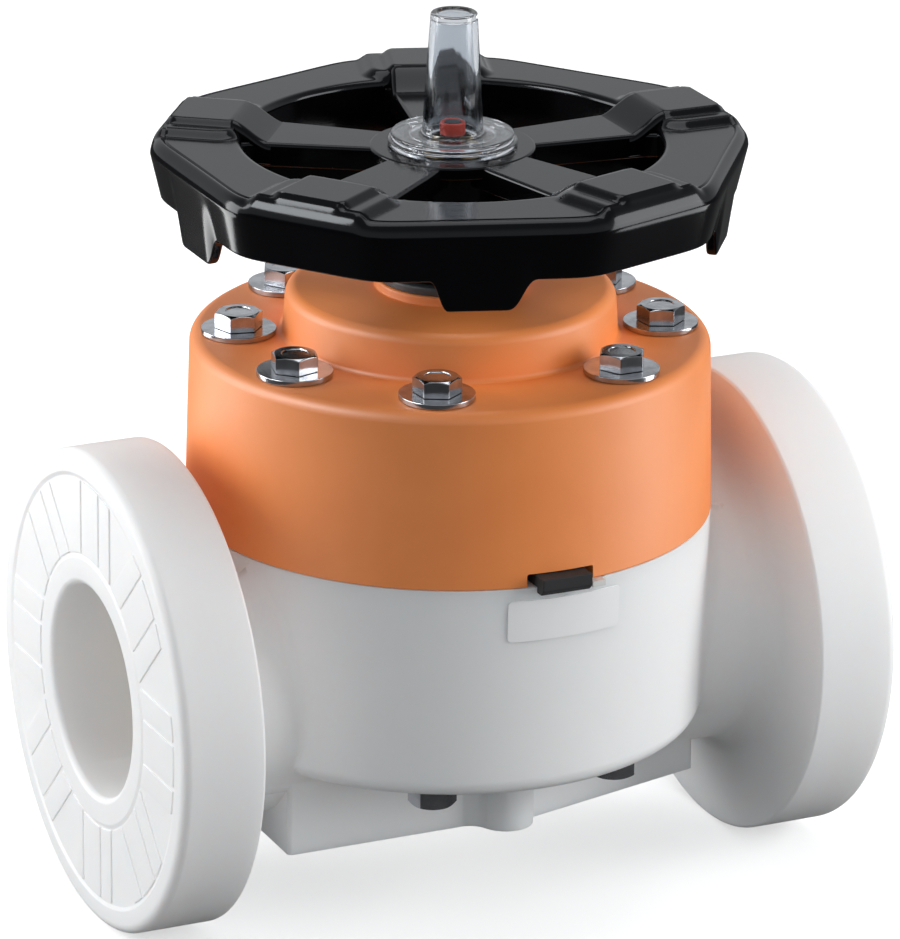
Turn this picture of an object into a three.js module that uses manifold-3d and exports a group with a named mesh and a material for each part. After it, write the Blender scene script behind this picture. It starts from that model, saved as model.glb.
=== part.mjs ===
// Weir-type diaphragm valve with two fixed flanges, a bolted bonnet and a non-rising handwheel.
// Millimetres, +Z up. The origin lies where the pipe axis, X, meets the spindle axis, Z.
// The valve is shown closed. A turn of the wheel lifts the spindle by one lead of its thread.

import * as THREE from 'three';
import { mergeVertices } from 'three/addons/utils/BufferGeometryUtils.js';
import Module from 'manifold-3d';

const wasm = await Module();
wasm.setup();

// Clearances and shared tolerances
const seatGap = 0.2;          // between two pieces that are bolted or pressed together
const runningGap = 0.4;       // around what turns or slides
const roofGap = 1;            // over the fully lifted compressor
const layerGap = 0.3;         // between the layers of the diaphragm and what they lie on
const overrun = 2;            // how far a cutting shape passes the surface that it cuts
const weldDistance = 0.001;   // corners closer than this are one corner

// Body: flanges, neck and bore
const faceToFace = 350;
const boreDiameter = 97;
const mouthRound = 3;
const flangeDiameter = 220;
const flangeThickness = 39;
const flangeFrontRound = 3.5;
const flangeBackRound = 1.5;
const neckDiameter = 130;
const neckFillet = 11;
const faceHubWidth = 12;      // smooth ring round the bore
const faceRimWidth = 7;       // smooth ring inside the front rounding
const faceRecessDepth = 1.2;  // annulus between the two rings

// Body: bowl, weir and foot
const partingHeight = 67.5;   // joint between bowl and bonnet, above the pipe axis
const bowlDepth = 32.5;         // underside of the bowl, below the pipe axis
const bowlDraft = 2.5;        // how much the bowl's radius shrinks towards its underside
const bowlRound = 9;
const weirCrestWidth = 16;
const weirFootWidth = 62;
const weirTopHeight = 19.5;
const footDepth = 71.4;       // underside of the foot, below the pipe axis
const footWidth = 106;
const footTaperWidth = 118;   // where the taper leaves the boss
const footNarrowWidth = 63;   // at the far end of the taper
const footNearLength = 101;
const footFarLength = 112;
const footCornerRound = 2;
const footBossDiameter = 26;
const footBossSpacing = 108;
const footBossShift = 5.5;
const footInsertDiameter = 15;
const footInsertDepth = 20;
const footThreadDiameter = 10;

// Bonnet
const bonnetDiameter = 239;   // at the parting joint
const bonnetHeight = 81;      // bolt face above the parting joint
const bonnetDraft = 2.2;
const bonnetRound = 9;
const domeHeight = 21.5;      // above the bolt face
const domeRound = 8;
const domeDraft = 1.5;
const domeFootRound = 2.4;
const domeMargin = 2.6;         // between a washer and the dome
const lipDiameter = 71;         // raised seat of the collar on the dome
const lipHeight = 4;
const lipRound = 1.2;
const bonnetThroatRound = 12;

// Bolts, washers, nuts and inserts
const boltDiameter = 12;
const boltHoleMargin = 0.7;
const boltEdgeDistance = 22;  // bolt circle to the bonnet's upper edge
const axisBoltAngle = THREE.MathUtils.degToRad(19.5);  // four bolts above the passage
const sideBoltAngle = THREE.MathUtils.degToRad(62);    // four bolts beside the passage
const headAcrossFlats = 19;
const headHeight = 7.5;
const headChamfer = 1.3;
const washerDiameter = 34;
const washerThickness = 2.5;
const nutWasherDiameter = 24;
const nutHeight = 8;
const nutWasherThickness = 1.6;
const boltProtrusion = 1.5;
const boltInsertDiameter = 18;
const boltInsertDepth = 16;

// Diaphragm: white facing under a black cushion
const membraneDiameter = 132;
const clampWidth = 13;        // rim squeezed between body and bonnet
const facingThickness = 2.7;
const cushionThickness = 5.6;
const membraneFlatDiameter = 26;
const cushionTabWidth = 24;
const cushionTabProud = 7;
const cushionTabDrop = 2.5;
const notchMargin = 4;        // beside the tab
const notchHeadroom = 0.6;    // over the tab
const facingTabWidth = 6.5;
const facingTabProud = 2.5;
const facingTabShift = 17.5;
const studDiameter = 6;
const studHeadDiameter = 14;
const studHeadThickness = 2;
const studLength = 16;

// Spindle and compressor
const lift = 40;
const spindleDiameter = 20;
const spindleTailDiameter = 16;
const spindleTopHeight = 188;
const compressorDiameter = 100;
const compressorThickness = 10;
const compressorRimThickness = 9;
const compressorBossDiameter = 34;
const compressorBossRise = 6;   // boss above the plate's rim
const compressorRibThickness = 5;
const guideLugWidth = 12;
const guideLugReach = 5;
const spindlePinDiameter = 5;
const spindlePinHeightShare = 0.7;

// Threaded bush, its bearing and its seal
const bushDiameter = 34;
const bushTopDiameter = 26;
const bushFlangeDiameter = 50;
const bushFlangeThickness = 6;
const bushTailLength = 24;
const thrustWasherThickness = 2;
const thrustSeatHeight = 1.2; // thrust seat above the bolt face
const collarDiameter = 62;
const collarHeight = 3.5;
const sealThickness = 3;
const sealHeight = 2.4;

// Handwheel
const wheelTopHeight = 68.5;  // rim's flat top above the dome
const spokeCount = 5;
const lobeFaceDistance = 127.5;  // from the axis to the flat outer faces that carry a lobe
const padFaceDistance = 132;     // from the axis to the flat outer faces at the spokes
const rimCornerSharpness = 46;
const rimWindowDiameter = 188;
const rimShoulder = 7;
const rimWall = 5;
const rimDepth = 27.3;
const rimInnerDepth = 25;
const rimInnerRound = 3;
const skirtDraft = 4.5;
const skirtEdge = 1.2;
const lobeDrop = 13.8;
const lobeTipShift = 3;       // tip sits off the middle of its lobe, against the opening turn
const lobeTopWidth = 50;
const lobeTipWidth = 30;
const padTipLift = 5.5;       // upper tier of a pad above the rim
const padStepLift = 3.2;      // lower tier of a pad above the rim
const padTipWidth = 36;
const padTipNarrowing = 2;
const padStepMargin = 9;
const padInnerDistance = 100;
const padStepInset = 5;      // lower tier behind the pad's outer face
const padInset = 8;           // upper tier behind the pad's outer face
const padBevel = 2;
const spokeHubWidth = 26;
const spokeRimWidth = 38;
const spokeThickness = 11;
const spokeSink = 3.4;        // spoke's top below the rim's top
const spokeBevel = 1.5;
const spokeRibWidth = 10;
const spokeRibDepth = 10;     // rib below the spoke's underside
const hubDiscDiameter = 74.6;
const hubDiscThickness = 6;
const hubDiscSink = 3;        // disc's top below the rim's top
const hubDiameter = 58;
const hubRecessDiameter = 44;
const hubRecessDepth = 10;
const keyWidth = 8;
const keyDepth = 3.5;
const keyLength = 26;
const wheelNutAcrossFlats = 32;
const wheelNutHeight = 6.5;

// Clear cap and indicator
const capFlangeDiameter = 58;
const capStepDiameter = 55;
const capFlangeThickness = 2.6;
const capStepThickness = 3;
const capHeight = 61;         // above the hub disc
const capTopDiameter = 20.8;
const capFootDiameter = 27.6;
const capTopWall = 3.5;
const capWall = 2.4;
const capRound = 1.2;
const capFootRound = 1.6;
const capDishDepth = 0.8;
const capDishMargin = 3.4;
const capSpigotDepth = 6.5;
const capSpigotWall = 2.2;
const indicatorRodDiameter = 8;
const indicatorRingDiameter = 11.4;
const indicatorRingHeight = 6;
const indicatorRise = 10.6;   // top of the rod above the hub disc, valve closed

// Facet counts
const bodyFacets = 36;
const seatFacets = 24;         // diaphragm, compressor and the chambers round them
const midFacets = 24;
const smallFacets = 16;
const arcSteps = 3;
const membraneSteps = 6;
const flankSteps = 3;

// Derived places that several pieces share
const flangeFaceX = faceToFace / 2;
const flangeBackX = flangeFaceX - flangeThickness;
const boreRadius = boreDiameter / 2;
const bonnetRadius = bonnetDiameter / 2;
const bonnetTopRadius = bonnetRadius - bonnetDraft;
const boltCircleRadius = bonnetTopRadius - boltEdgeDistance;
const boltHoleRadius = boltDiameter / 2 + boltHoleMargin;
const domeRadius = boltCircleRadius - washerDiameter / 2 - domeMargin;
const bonnetFloor = partingHeight + seatGap;
const boltFaceHeight = partingHeight + bonnetHeight;
const domeTopHeight = boltFaceHeight + domeHeight;
const lipTopHeight = domeTopHeight + lipHeight;
const membraneRadius = membraneDiameter / 2;
const clampRadius = membraneRadius + clampWidth;
const tabRootRadius = membraneRadius + clampWidth / 2;  // where the tabs leave the clamped rims
const facingFloor = partingHeight - facingThickness;
const cushionFloor = partingHeight + seatGap;
const cushionTop = cushionFloor + cushionThickness;
const spindleRadius = spindleDiameter / 2;
const bushRadius = bushDiameter / 2;
const thrustSeat = boltFaceHeight + thrustSeatHeight;
const bushFlangeFloor = thrustSeat + thrustWasherThickness + 2 * seatGap;
const bushFlangeTop = bushFlangeFloor + bushFlangeThickness;
const upperWasherFloor = bushFlangeTop + seatGap;
const collarSpigotFloor = upperWasherFloor + thrustWasherThickness + seatGap;
const collarFloor = lipTopHeight + seatGap;
const collarTop = collarFloor + collarHeight;
const bearingRadius = bushFlangeDiameter / 2 + runningGap;
const wheelTop = domeTopHeight + wheelTopHeight;
const hubDiscTop = wheelTop - hubDiscSink;
const hubFloor = collarTop + runningGap;
const hubRecessFloor = hubDiscTop - hubRecessDepth;
const bushTop = hubRecessFloor + seatGap + wheelNutHeight;
const spokeAngle = (2 * Math.PI) / spokeCount;

// Materials, one for each finish
const finish = (color, roughness, metalness = 0, more = {}) =>
  new THREE.MeshStandardMaterial({ color, roughness, metalness, ...more });
const whitePlastic = () => finish(0xf1f0ee, 0.35);
const orangePlastic = () => finish(0xf08a3c, 0.6);
const blackPlastic = () => finish(0x0b0c10, 0.15);
const greyPlastic = () => finish(0x3a3c40, 0.5);
const blackRubber = () => finish(0x1b1d1e, 0.8);
const zincSteel = () => finish(0xb9bcc0, 0.3, 1);
const plainSteel = () => finish(0x9a9da2, 0.35, 1);
const brass = () => finish(0xc59b4a, 0.3, 1);
const redPlastic = () => finish(0xd8402a, 0.4);
const clearPlastic = () => finish(0xe8ecee, 0.05, 0, { transparent: true, opacity: 0.35 });

// Closed solid of a geometry: corners welded, collapsed facets dropped, faces turned outwards.
function solid(geometry) {
  const bare = geometry.clone();
  for (const name of Object.keys(bare.attributes)) {
    if (name !== 'position') bare.deleteAttribute(name);
  }
  const welded = mergeVertices(bare, weldDistance);
  const at = welded.attributes.position.array;
  const corners = welded.index.array;
  const kept = [];
  let volume = 0;
  for (let i = 0; i < corners.length; i += 3) {
    const [a, b, c] = [corners[i], corners[i + 1], corners[i + 2]];
    if (a === b || b === c || c === a) continue;
    kept.push(a, b, c);
    const [p, q, r] = [a, b, c].map((k) => new THREE.Vector3().fromArray(at, 3 * k));
    volume += p.dot(q.cross(r));
  }
  if (volume < 0) kept.reverse();
  return new wasm.Manifold(new wasm.Mesh({
    numProp: 3,
    vertProperties: new Float32Array(at),
    triVerts: new Uint32Array(kept),
  }));
}

// Geometry of a solid, with flat facets.
function geometryOf(manifold) {
  const mesh = manifold.getMesh();
  const points = new Float32Array(3 * mesh.numVert);
  for (let i = 0; i < mesh.numVert; i += 1) {
    for (let k = 0; k < 3; k += 1) points[3 * i + k] = mesh.vertProperties[i * mesh.numProp + k];
  }
  const geometry = new THREE.BufferGeometry();
  geometry.setAttribute('position', new THREE.BufferAttribute(points, 3));
  geometry.setIndex(new THREE.BufferAttribute(new Uint32Array(mesh.triVerts), 1));
  const faceted = geometry.toNonIndexed();
  faceted.computeVertexNormals();
  return faceted;
}

// Named mesh of a solid.
function piece(name, manifold, material) {
  const mesh = new THREE.Mesh(geometryOf(manifold), material);
  mesh.name = name;
  return mesh;
}

const unite = (solids) => solids.reduce((sum, next) => sum.add(next));
const cutAll = (base, cuts) => cuts.reduce((rest, cut) => rest.subtract(cut), base);

// Point of a profile: distance from the axis, then height.
const at = (radius, height) => new THREE.Vector2(radius, height);

// Points of an arc from one angle to another.
function arc(centreRadius, centreHeight, radius, from, to, steps = arcSteps) {
  return Array.from({ length: steps + 1 }, (_, i) => {
    const angle = from + ((to - from) * i) / steps;
    return at(centreRadius + radius * Math.cos(angle), centreHeight + radius * Math.sin(angle));
  });
}

// Solid of revolution about +Z.
function turned(profile, facets = midFacets) {
  return solid(new THREE.LatheGeometry(profile, facets).rotateX(Math.PI / 2));
}

// Solid of revolution about +X, with the profile's heights along X.
function turnedAlongX(profile, facets = midFacets) {
  return solid(new THREE.LatheGeometry(profile, facets).rotateZ(-Math.PI / 2));
}

// Ring or, with no inner radius, disc between two heights.
function ring(outer, inner, floor, top, facets = midFacets) {
  const profile = inner > 0
    ? [at(inner, floor), at(outer, floor), at(outer, top), at(inner, top), at(inner, floor)]
    : [at(0, floor), at(outer, floor), at(outer, top), at(0, top)];
  return turned(profile, facets);
}

// Upright cylinder standing at a place.
const post = (radius, floor, top, x = 0, y = 0, facets = smallFacets) =>
  ring(radius, 0, floor, top, facets).translate([x, y, 0]);

// Box between two corners.
function block(low, high) {
  const size = high.map((value, k) => value - low[k]);
  const centre = high.map((value, k) => (value + low[k]) / 2);
  return solid(new THREE.BoxGeometry(...size).translate(...centre));
}

// Prism of a flat outline between two heights, with an optional chamfer at both ends.
function prism(outline, floor, top, bevel = 0) {
  const shape = new THREE.Shape(outline);
  const geometry = new THREE.ExtrudeGeometry(shape, {
    depth: top - floor - 2 * bevel,
    bevelEnabled: bevel > 0,
    bevelThickness: bevel,
    bevelSize: bevel,
    bevelOffset: -bevel,
    bevelSegments: 1,
    steps: 1,
  });
  return solid(geometry.translate(0, 0, floor + bevel));
}

// Corners of a hexagon of a width across its flats.
function hexagon(acrossFlats) {
  const cornerRadius = acrossFlats / Math.sqrt(3);
  return Array.from({ length: 6 }, (_, i) =>
    at(cornerRadius * Math.cos((i * Math.PI) / 3), cornerRadius * Math.sin((i * Math.PI) / 3)));
}

// Hexagon whose upper corners are turned down by a chamfer.
function hexagonHead(acrossFlats, floor, top, chamfer) {
  const cornerRadius = acrossFlats / Math.sqrt(3);
  const turnedDown = turned([
    at(0, floor), at(cornerRadius + overrun, floor), at(cornerRadius + overrun, top - chamfer),
    at(cornerRadius, top - chamfer), at(acrossFlats / 2 - chamfer / 2, top), at(0, top),
  ], 2 * 6);
  return prism(hexagon(acrossFlats), floor, top).intersect(turnedDown);
}

// Underside of the facing, from the flat middle over the weir out to the clamped rim.
const membraneLine = Array.from({ length: membraneSteps + 1 }, (_, i) => {
  const share = i / membraneSteps;
  const low = weirTopHeight + layerGap;
  const radius = THREE.MathUtils.lerp(membraneFlatDiameter / 2, membraneRadius, share);
  return at(radius, THREE.MathUtils.lerp(low, facingFloor, share * share * (3 - 2 * share)));
});

// Height of that line at a distance from the spindle axis; it is flat in the middle and in the clamp.
function membraneHeight(radius) {
  const after = membraneLine.findIndex((point) => point.x >= radius);
  if (after < 0) return facingFloor;
  if (after === 0) return membraneLine[0].y;
  const [low, high] = [membraneLine[after - 1], membraneLine[after]];
  return THREE.MathUtils.mapLinear(radius, low.x, high.x, low.y, high.y);
}

// Points of that line from the axis out to a radius, raised by an offset.
function membraneCurve(offset, reach = membraneRadius) {
  const inner = membraneLine.filter((point) => point.x < reach);
  return [at(0, membraneLine[0].y), ...inner, at(reach, membraneHeight(reach))]
    .map((point) => at(point.x, point.y + offset));
}

// Places up the compressor, from the diaphragm's upper face.
const diaphragmStack = facingThickness + cushionThickness + 2 * layerGap;
const cushionCentreTop = membraneHeight(0) + diaphragmStack - layerGap;
const lugReach = compressorDiameter / 2 + guideLugReach;
const plateTop = membraneHeight(compressorDiameter / 2) + diaphragmStack + compressorRimThickness;
const dishFloor = cushionCentreTop + compressorThickness;
const bossTop = plateTop + compressorBossRise;
const pinHeight = THREE.MathUtils.lerp(dishFloor, bossTop, spindlePinHeightShare);
const chamberRoof = plateTop + lift + roofGap;
const bossRoof = bossTop + lift + roofGap;

// Bolt places: one entry for each bolt, with the side of the passage that it stands on.
const boltPlaces = [];
for (const [kind, angle] of [['axis', axisBoltAngle], ['side', sideBoltAngle]]) {
  for (const [xSide, xName] of [[-1, 'near'], [1, 'far']]) {
    for (const [ySide, yName] of [[-1, 'front'], [1, 'rear']]) {
      boltPlaces.push({
        kind,
        name: `${kind}_${xName}_${yName}`,
        x: xSide * boltCircleRadius * Math.cos(angle),
        y: ySide * boltCircleRadius * Math.sin(angle),
      });
    }
  }
}
const sideBolts = boltPlaces.filter((place) => place.kind === 'side');
const axisBolts = boltPlaces.filter((place) => place.kind === 'axis');

// Room for every bolt and insert between two heights, cut from what is clamped near them.
const boltRooms = (floor, top) => boltPlaces.map(({ kind, x, y }) =>
  post(kind === 'axis' ? boltInsertDiameter / 2 + seatGap : boltHoleRadius, floor, top, x, y));

// Flanges and neck: one turned bar along the pipe, with recessed flange faces.
function pipeBar() {
  const outer = flangeDiameter / 2;
  const neck = neckDiameter / 2;
  const hub = boreRadius + faceHubWidth;
  const rim = outer - flangeFrontRound - faceRimWidth;
  const half = [
    at(0, flangeFaceX),
    at(hub, flangeFaceX),
    at(hub + faceRecessDepth, flangeFaceX - faceRecessDepth),
    at(rim - faceRecessDepth, flangeFaceX - faceRecessDepth),
    at(rim, flangeFaceX),
    ...arc(outer - flangeFrontRound, flangeFaceX - flangeFrontRound, flangeFrontRound, Math.PI / 2, 0),
    at(outer, flangeBackX + flangeBackRound),
    at(outer - flangeBackRound, flangeBackX),
    ...arc(neck + neckFillet, flangeBackX - neckFillet, neckFillet, Math.PI / 2, Math.PI),
  ];
  const mirrored = half.map((point) => at(point.x, -point.y)).reverse();
  return turnedAlongX([...half, ...mirrored], bodyFacets);
}

// Round bowl between the necks.
function bowl() {
  const foot = bonnetRadius - bowlDraft;
  return turned([
    at(0, partingHeight),
    at(bonnetRadius, partingHeight),
    ...arc(foot - bowlRound, bowlRound - bowlDepth, bowlRound, 0, -Math.PI / 2),
    at(0, -bowlDepth),
  ], bodyFacets);
}

// Foot plate along the pipe with a boss for an insert on each side.
function foot() {
  const wide = footWidth / 2;
  const narrow = footNarrowWidth / 2;
  const round = footCornerRound;
  const side = [
    at(-footNearLength, 0),
    at(-footNearLength, wide - round),
    at(-footNearLength + round, wide),
    at(footBossShift, wide),
    at(footBossShift, footTaperWidth / 2),
    at(footFarLength, narrow),
    at(footFarLength, 0),
  ];
  const other = side.slice(1, -1).map((point) => at(point.x, -point.y)).reverse();
  const plate = prism([...side, ...other].reverse(), -footDepth, -bowlDepth + overrun);
  const bosses = [-1, 1].map((sign) => post(
    footBossDiameter / 2, -footDepth, -bowlDepth + overrun, footBossShift, (sign * footBossSpacing) / 2,
    midFacets,
  ));
  return unite([plate, ...bosses]);
}

// Bore from both flanges up to the weir, with rounded mouths. The chamber later trims the weir's
// crest to the curve of the diaphragm, so that the closed diaphragm rests on it all along.
function passage() {
  const bore = turnedAlongX([
    at(0, -flangeFaceX - overrun),
    at(boreRadius + mouthRound, -flangeFaceX - overrun),
    ...arc(boreRadius + mouthRound, -flangeFaceX + mouthRound, mouthRound, -Math.PI / 2, -Math.PI),
    ...arc(boreRadius + mouthRound, flangeFaceX - mouthRound, mouthRound, Math.PI, Math.PI / 2),
    at(boreRadius + mouthRound, flangeFaceX + overrun),
    at(0, flangeFaceX + overrun),
  ], bodyFacets);
  const reach = boreRadius + overrun;
  const weir = prism([
    at(-weirFootWidth / 2, -reach), at(weirFootWidth / 2, -reach),
    at(weirCrestWidth / 2, weirTopHeight), at(weirCrestWidth / 2, reach),
    at(-weirCrestWidth / 2, reach), at(-weirCrestWidth / 2, weirTopHeight),
  ], -reach, reach).rotate([90, 0, 0]);
  return bore.subtract(weir);
}

// Space over the weir in which the diaphragm moves.
function bodyChamber() {
  return turned([
    ...membraneCurve(-layerGap),
    at(membraneRadius, facingFloor - seatGap),
    at(clampRadius + seatGap, facingFloor - seatGap),
    at(clampRadius + seatGap, partingHeight + overrun),
    at(0, partingHeight + overrun),
  ], seatFacets);
}

function makeBody() {
  const threadedPockets = axisBolts.map(({ x, y }) =>
    post(boltInsertDiameter / 2 + seatGap, partingHeight - boltInsertDepth - seatGap,
      partingHeight + overrun, x, y));
  const boltHoles = sideBolts.map(({ x, y }) =>
    post(boltHoleRadius, -bowlDepth - overrun, partingHeight + overrun, x, y));
  const footPockets = [-1, 1].map((sign) => post(
    footInsertDiameter / 2 + seatGap, -footDepth - overrun, -footDepth + footInsertDepth + seatGap,
    footBossShift, (sign * footBossSpacing) / 2,
  ));
  const tabSlot = block(
    [facingTabShift - facingTabWidth / 2 - seatGap, -bonnetRadius - overrun, facingFloor - seatGap],
    [facingTabShift + facingTabWidth / 2 + seatGap, -tabRootRadius, partingHeight + overrun],
  );
  const bonnetRoom = post(bonnetRadius + seatGap, partingHeight, partingHeight + neckDiameter / 2,
    0, 0, bodyFacets);
  return cutAll(unite([pipeBar(), bowl(), foot()]), [
    passage(), bodyChamber(), ...threadedPockets, ...boltHoles, ...footPockets, tabSlot, bonnetRoom,
  ]);
}

// Outside of the bonnet: drafted wall, rounded shoulder, dome with a filleted foot, raised lip.
function bonnetShell() {
  const shoulder = bonnetTopRadius - bonnetRound;
  const domeTop = domeRadius - domeDraft;
  const lip = lipDiameter / 2;
  return turned([
    at(0, bonnetFloor),
    at(bonnetRadius, bonnetFloor),
    ...arc(shoulder, boltFaceHeight - bonnetRound, bonnetRound, 0, Math.PI / 2, arcSteps + 1),
    ...arc(domeRadius + domeFootRound, boltFaceHeight + domeFootRound, domeFootRound,
      -Math.PI / 2, -Math.PI, 2),
    ...arc(domeTop - domeRound, domeTopHeight - domeRound, domeRound, 0, Math.PI / 2, arcSteps + 1),
    at(lip, domeTopHeight),
    ...arc(lip - lipRound, lipTopHeight - lipRound, lipRound, 0, Math.PI / 2, 2),
    at(0, lipTopHeight),
  ], bodyFacets);
}

// Space inside the bonnet: clamp recess, compressor chamber, bush bore and bearing pocket.
function bonnetCavity() {
  const chamber = compressorDiameter / 2 + runningGap;
  const bossRadius = compressorBossDiameter / 2 + runningGap;
  const clampTop = cushionTop + seatGap;
  const throatRound = Math.min(bonnetThroatRound, membraneRadius - chamber);
  return turned([
    at(0, bonnetFloor - overrun),
    at(clampRadius + seatGap, bonnetFloor - overrun),
    at(clampRadius + seatGap, clampTop),
    at(membraneRadius + seatGap, clampTop),
    ...arc(chamber + throatRound, clampTop + throatRound, throatRound, -Math.PI / 2, -Math.PI),
    at(chamber, chamberRoof),
    at(bossRadius, chamberRoof),
    at(bossRadius, bossRoof),
    at(bushRadius + runningGap, bossRoof),
    at(bushRadius + runningGap, thrustSeat),
    at(bearingRadius, thrustSeat),
    at(bearingRadius, lipTopHeight + overrun),
    at(0, lipTopHeight + overrun),
  ], seatFacets);
}

function makeBonnet() {
  const holes = boltPlaces.map(({ x, y }) =>
    post(boltHoleRadius, bonnetFloor - overrun, boltFaceHeight + overrun, x, y));
  const grooveReach = lugReach + runningGap;
  const groove = block(
    [-guideLugWidth / 2 - runningGap, -grooveReach, cushionTop],
    [guideLugWidth / 2 + runningGap, grooveReach, chamberRoof],
  );
  const notch = block(
    [-cushionTabWidth / 2 - notchMargin, -bonnetRadius - overrun, bonnetFloor - overrun],
    [cushionTabWidth / 2 + notchMargin, -tabRootRadius, cushionTop + notchHeadroom],
  );
  return cutAll(bonnetShell(), [bonnetCavity(), ...holes, groove, notch]);
}

// Flexing part of the diaphragm's two layers.
function membrane(floor, thickness) {
  const under = membraneCurve(floor, membraneRadius - seatGap);
  const over = membraneCurve(floor + thickness, membraneRadius - seatGap).reverse();
  return turned([...under, ...over], seatFacets);
}

// Clamped rim of the facing, with its tab.
function makeFacingRim() {
  const tab = block(
    [facingTabShift - facingTabWidth / 2, -bonnetRadius - facingTabProud, facingFloor],
    [facingTabShift + facingTabWidth / 2, -tabRootRadius, partingHeight],
  );
  const rimRing = ring(clampRadius, membraneRadius + seatGap, facingFloor, partingHeight, seatFacets);
  return cutAll(rimRing.add(tab), boltRooms(facingFloor - overrun, partingHeight + overrun));
}

// Clamped rim of the cushion, with the tab that shows in the bonnet's notch.
function makeCushionRim() {
  const half = cushionTabWidth / 2;
  const faceY = -bonnetRadius - cushionTabProud;
  const strip = block([-half, -bonnetRadius - seatGap, cushionFloor], [half, -tabRootRadius, cushionTop]);
  const side = [
    at(-bonnetRadius - seatGap, cushionFloor - cushionTabDrop),
    at(faceY + cushionTabDrop, cushionFloor - cushionTabDrop),
    at(faceY, cushionFloor),
    at(faceY, cushionTop),
    at(-bonnetRadius - seatGap, cushionTop),
  ].reverse();
  const head = prism(side, -half, half).rotate([90, 0, 90]);
  const rimRing = ring(clampRadius, membraneRadius + seatGap, cushionFloor, cushionTop, seatFacets);
  return cutAll(unite([rimRing, strip, head]), boltRooms(cushionFloor - overrun, cushionTop + overrun));
}

// Compressor: a dished plate with six ribs, a boss for the spindle and two guide lugs.
function makeCompressor() {
  const radius = compressorDiameter / 2;
  const bossRadius = compressorBossDiameter / 2;
  const blank = turned([
    ...membraneCurve(diaphragmStack, radius),
    at(radius, plateTop),
    at(0, plateTop),
  ], seatFacets);
  const dish = turned([
    at(bossRadius, dishFloor),
    at(bossRadius + compressorRimThickness, dishFloor),
    at(radius - compressorRimThickness, plateTop + overrun),
    at(bossRadius, plateTop + overrun),
    at(bossRadius, dishFloor),
  ], seatFacets);
  const ribs = [0, 1, 2].map((turn) => block(
    [-radius, -compressorRibThickness / 2, dishFloor - overrun],
    [radius, compressorRibThickness / 2, plateTop],
  ).rotate([0, 0, 30 + 60 * turn]).intersect(blank));
  const boss = post(bossRadius, dishFloor - overrun, bossTop, 0, 0, midFacets);
  const lugFloor = membraneHeight(Math.hypot(lugReach, guideLugWidth)) + diaphragmStack;
  const lugs = block([-guideLugWidth / 2, -lugReach, lugFloor], [guideLugWidth / 2, lugReach, plateTop]);
  const socket = post(spindleTailDiameter / 2 + seatGap, dishFloor - seatGap, bossTop + overrun,
    0, 0, midFacets);
  const pinHole = crossPin(spindlePinDiameter / 2 + seatGap, bossRadius + overrun);
  const studHole = post(studDiameter / 2 + seatGap, weirTopHeight, studTop + seatGap);
  return cutAll(unite([blank.subtract(dish), boss, ...ribs, lugs]), [socket, pinHole, studHole]);
}

// Pin or pin hole across the compressor's boss.
function crossPin(radius, reach) {
  return post(radius, -reach, reach).rotate([90, 0, 0]).translate([0, 0, pinHeight]);
}

const studFloor = membraneHeight(0) + facingThickness / 2;
const studTop = Math.min(studFloor + studLength, dishFloor - 2 * seatGap);

// Stud with its head moulded into the diaphragm.
function makeStud() {
  const neck = membraneHeight(0) + facingThickness + 2 * seatGap;
  return post(studDiameter / 2, neck, studTop)
    .add(ring(studHeadDiameter / 2, 0, cushionCentreTop - cushionThickness / 2 - studHeadThickness,
      cushionCentreTop - cushionThickness / 2, smallFacets));
}

// Room for the stud in a layer of the diaphragm.
function studRoom() {
  return post(studDiameter / 2 + seatGap, weirTopHeight + facingThickness, studTop + overrun)
    .add(post(studHeadDiameter / 2 + seatGap,
      cushionCentreTop - cushionThickness / 2 - studHeadThickness - seatGap,
      cushionCentreTop - cushionThickness / 2 + seatGap));
}

function makeSpindle() {
  const tail = spindleTailDiameter / 2;
  const shoulder = bossTop + seatGap;
  return turned([
    at(0, dishFloor),
    at(tail, dishFloor),
    at(tail, shoulder),
    at(spindleRadius, shoulder),
    at(spindleRadius, spindleTopHeight - headChamfer),
    at(spindleRadius - headChamfer, spindleTopHeight),
    at(0, spindleTopHeight),
  ], midFacets).subtract(crossPin(spindlePinDiameter / 2 + seatGap, spindleRadius + overrun));
}

// Threaded bush: tail in the bonnet, thrust flange, keyed shank and threaded top.
function makeBush() {
  const shank = turned([
    at(0, thrustSeat - bushTailLength),
    at(bushRadius, thrustSeat - bushTailLength),
    at(bushRadius, bushFlangeFloor),
    at(bushFlangeDiameter / 2, bushFlangeFloor),
    at(bushFlangeDiameter / 2, bushFlangeTop),
    at(bushRadius, bushFlangeTop),
    at(bushRadius, hubRecessFloor - seatGap),
    at(bushTopDiameter / 2, hubRecessFloor - seatGap),
    at(bushTopDiameter / 2, bushTop),
    at(0, bushTop),
  ], midFacets);
  const thread = post(spindleRadius + runningGap, thrustSeat - bushTailLength - overrun,
    bushTop + overrun, 0, 0, midFacets);
  return cutAll(shank, [thread, keyShape(seatGap)]);
}

// Parallel key between bush and hub, or, with a margin, its keyway.
function keyShape(margin) {
  const high = hubRecessFloor - seatGap - keyWidth;
  const reach = bushRadius + keyDepth + seatGap;
  return block(
    [bushRadius - keyDepth - margin, -keyWidth / 2 - margin, high - keyLength - margin],
    [reach + margin, keyWidth / 2 + margin, high + margin],
  );
}

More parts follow.
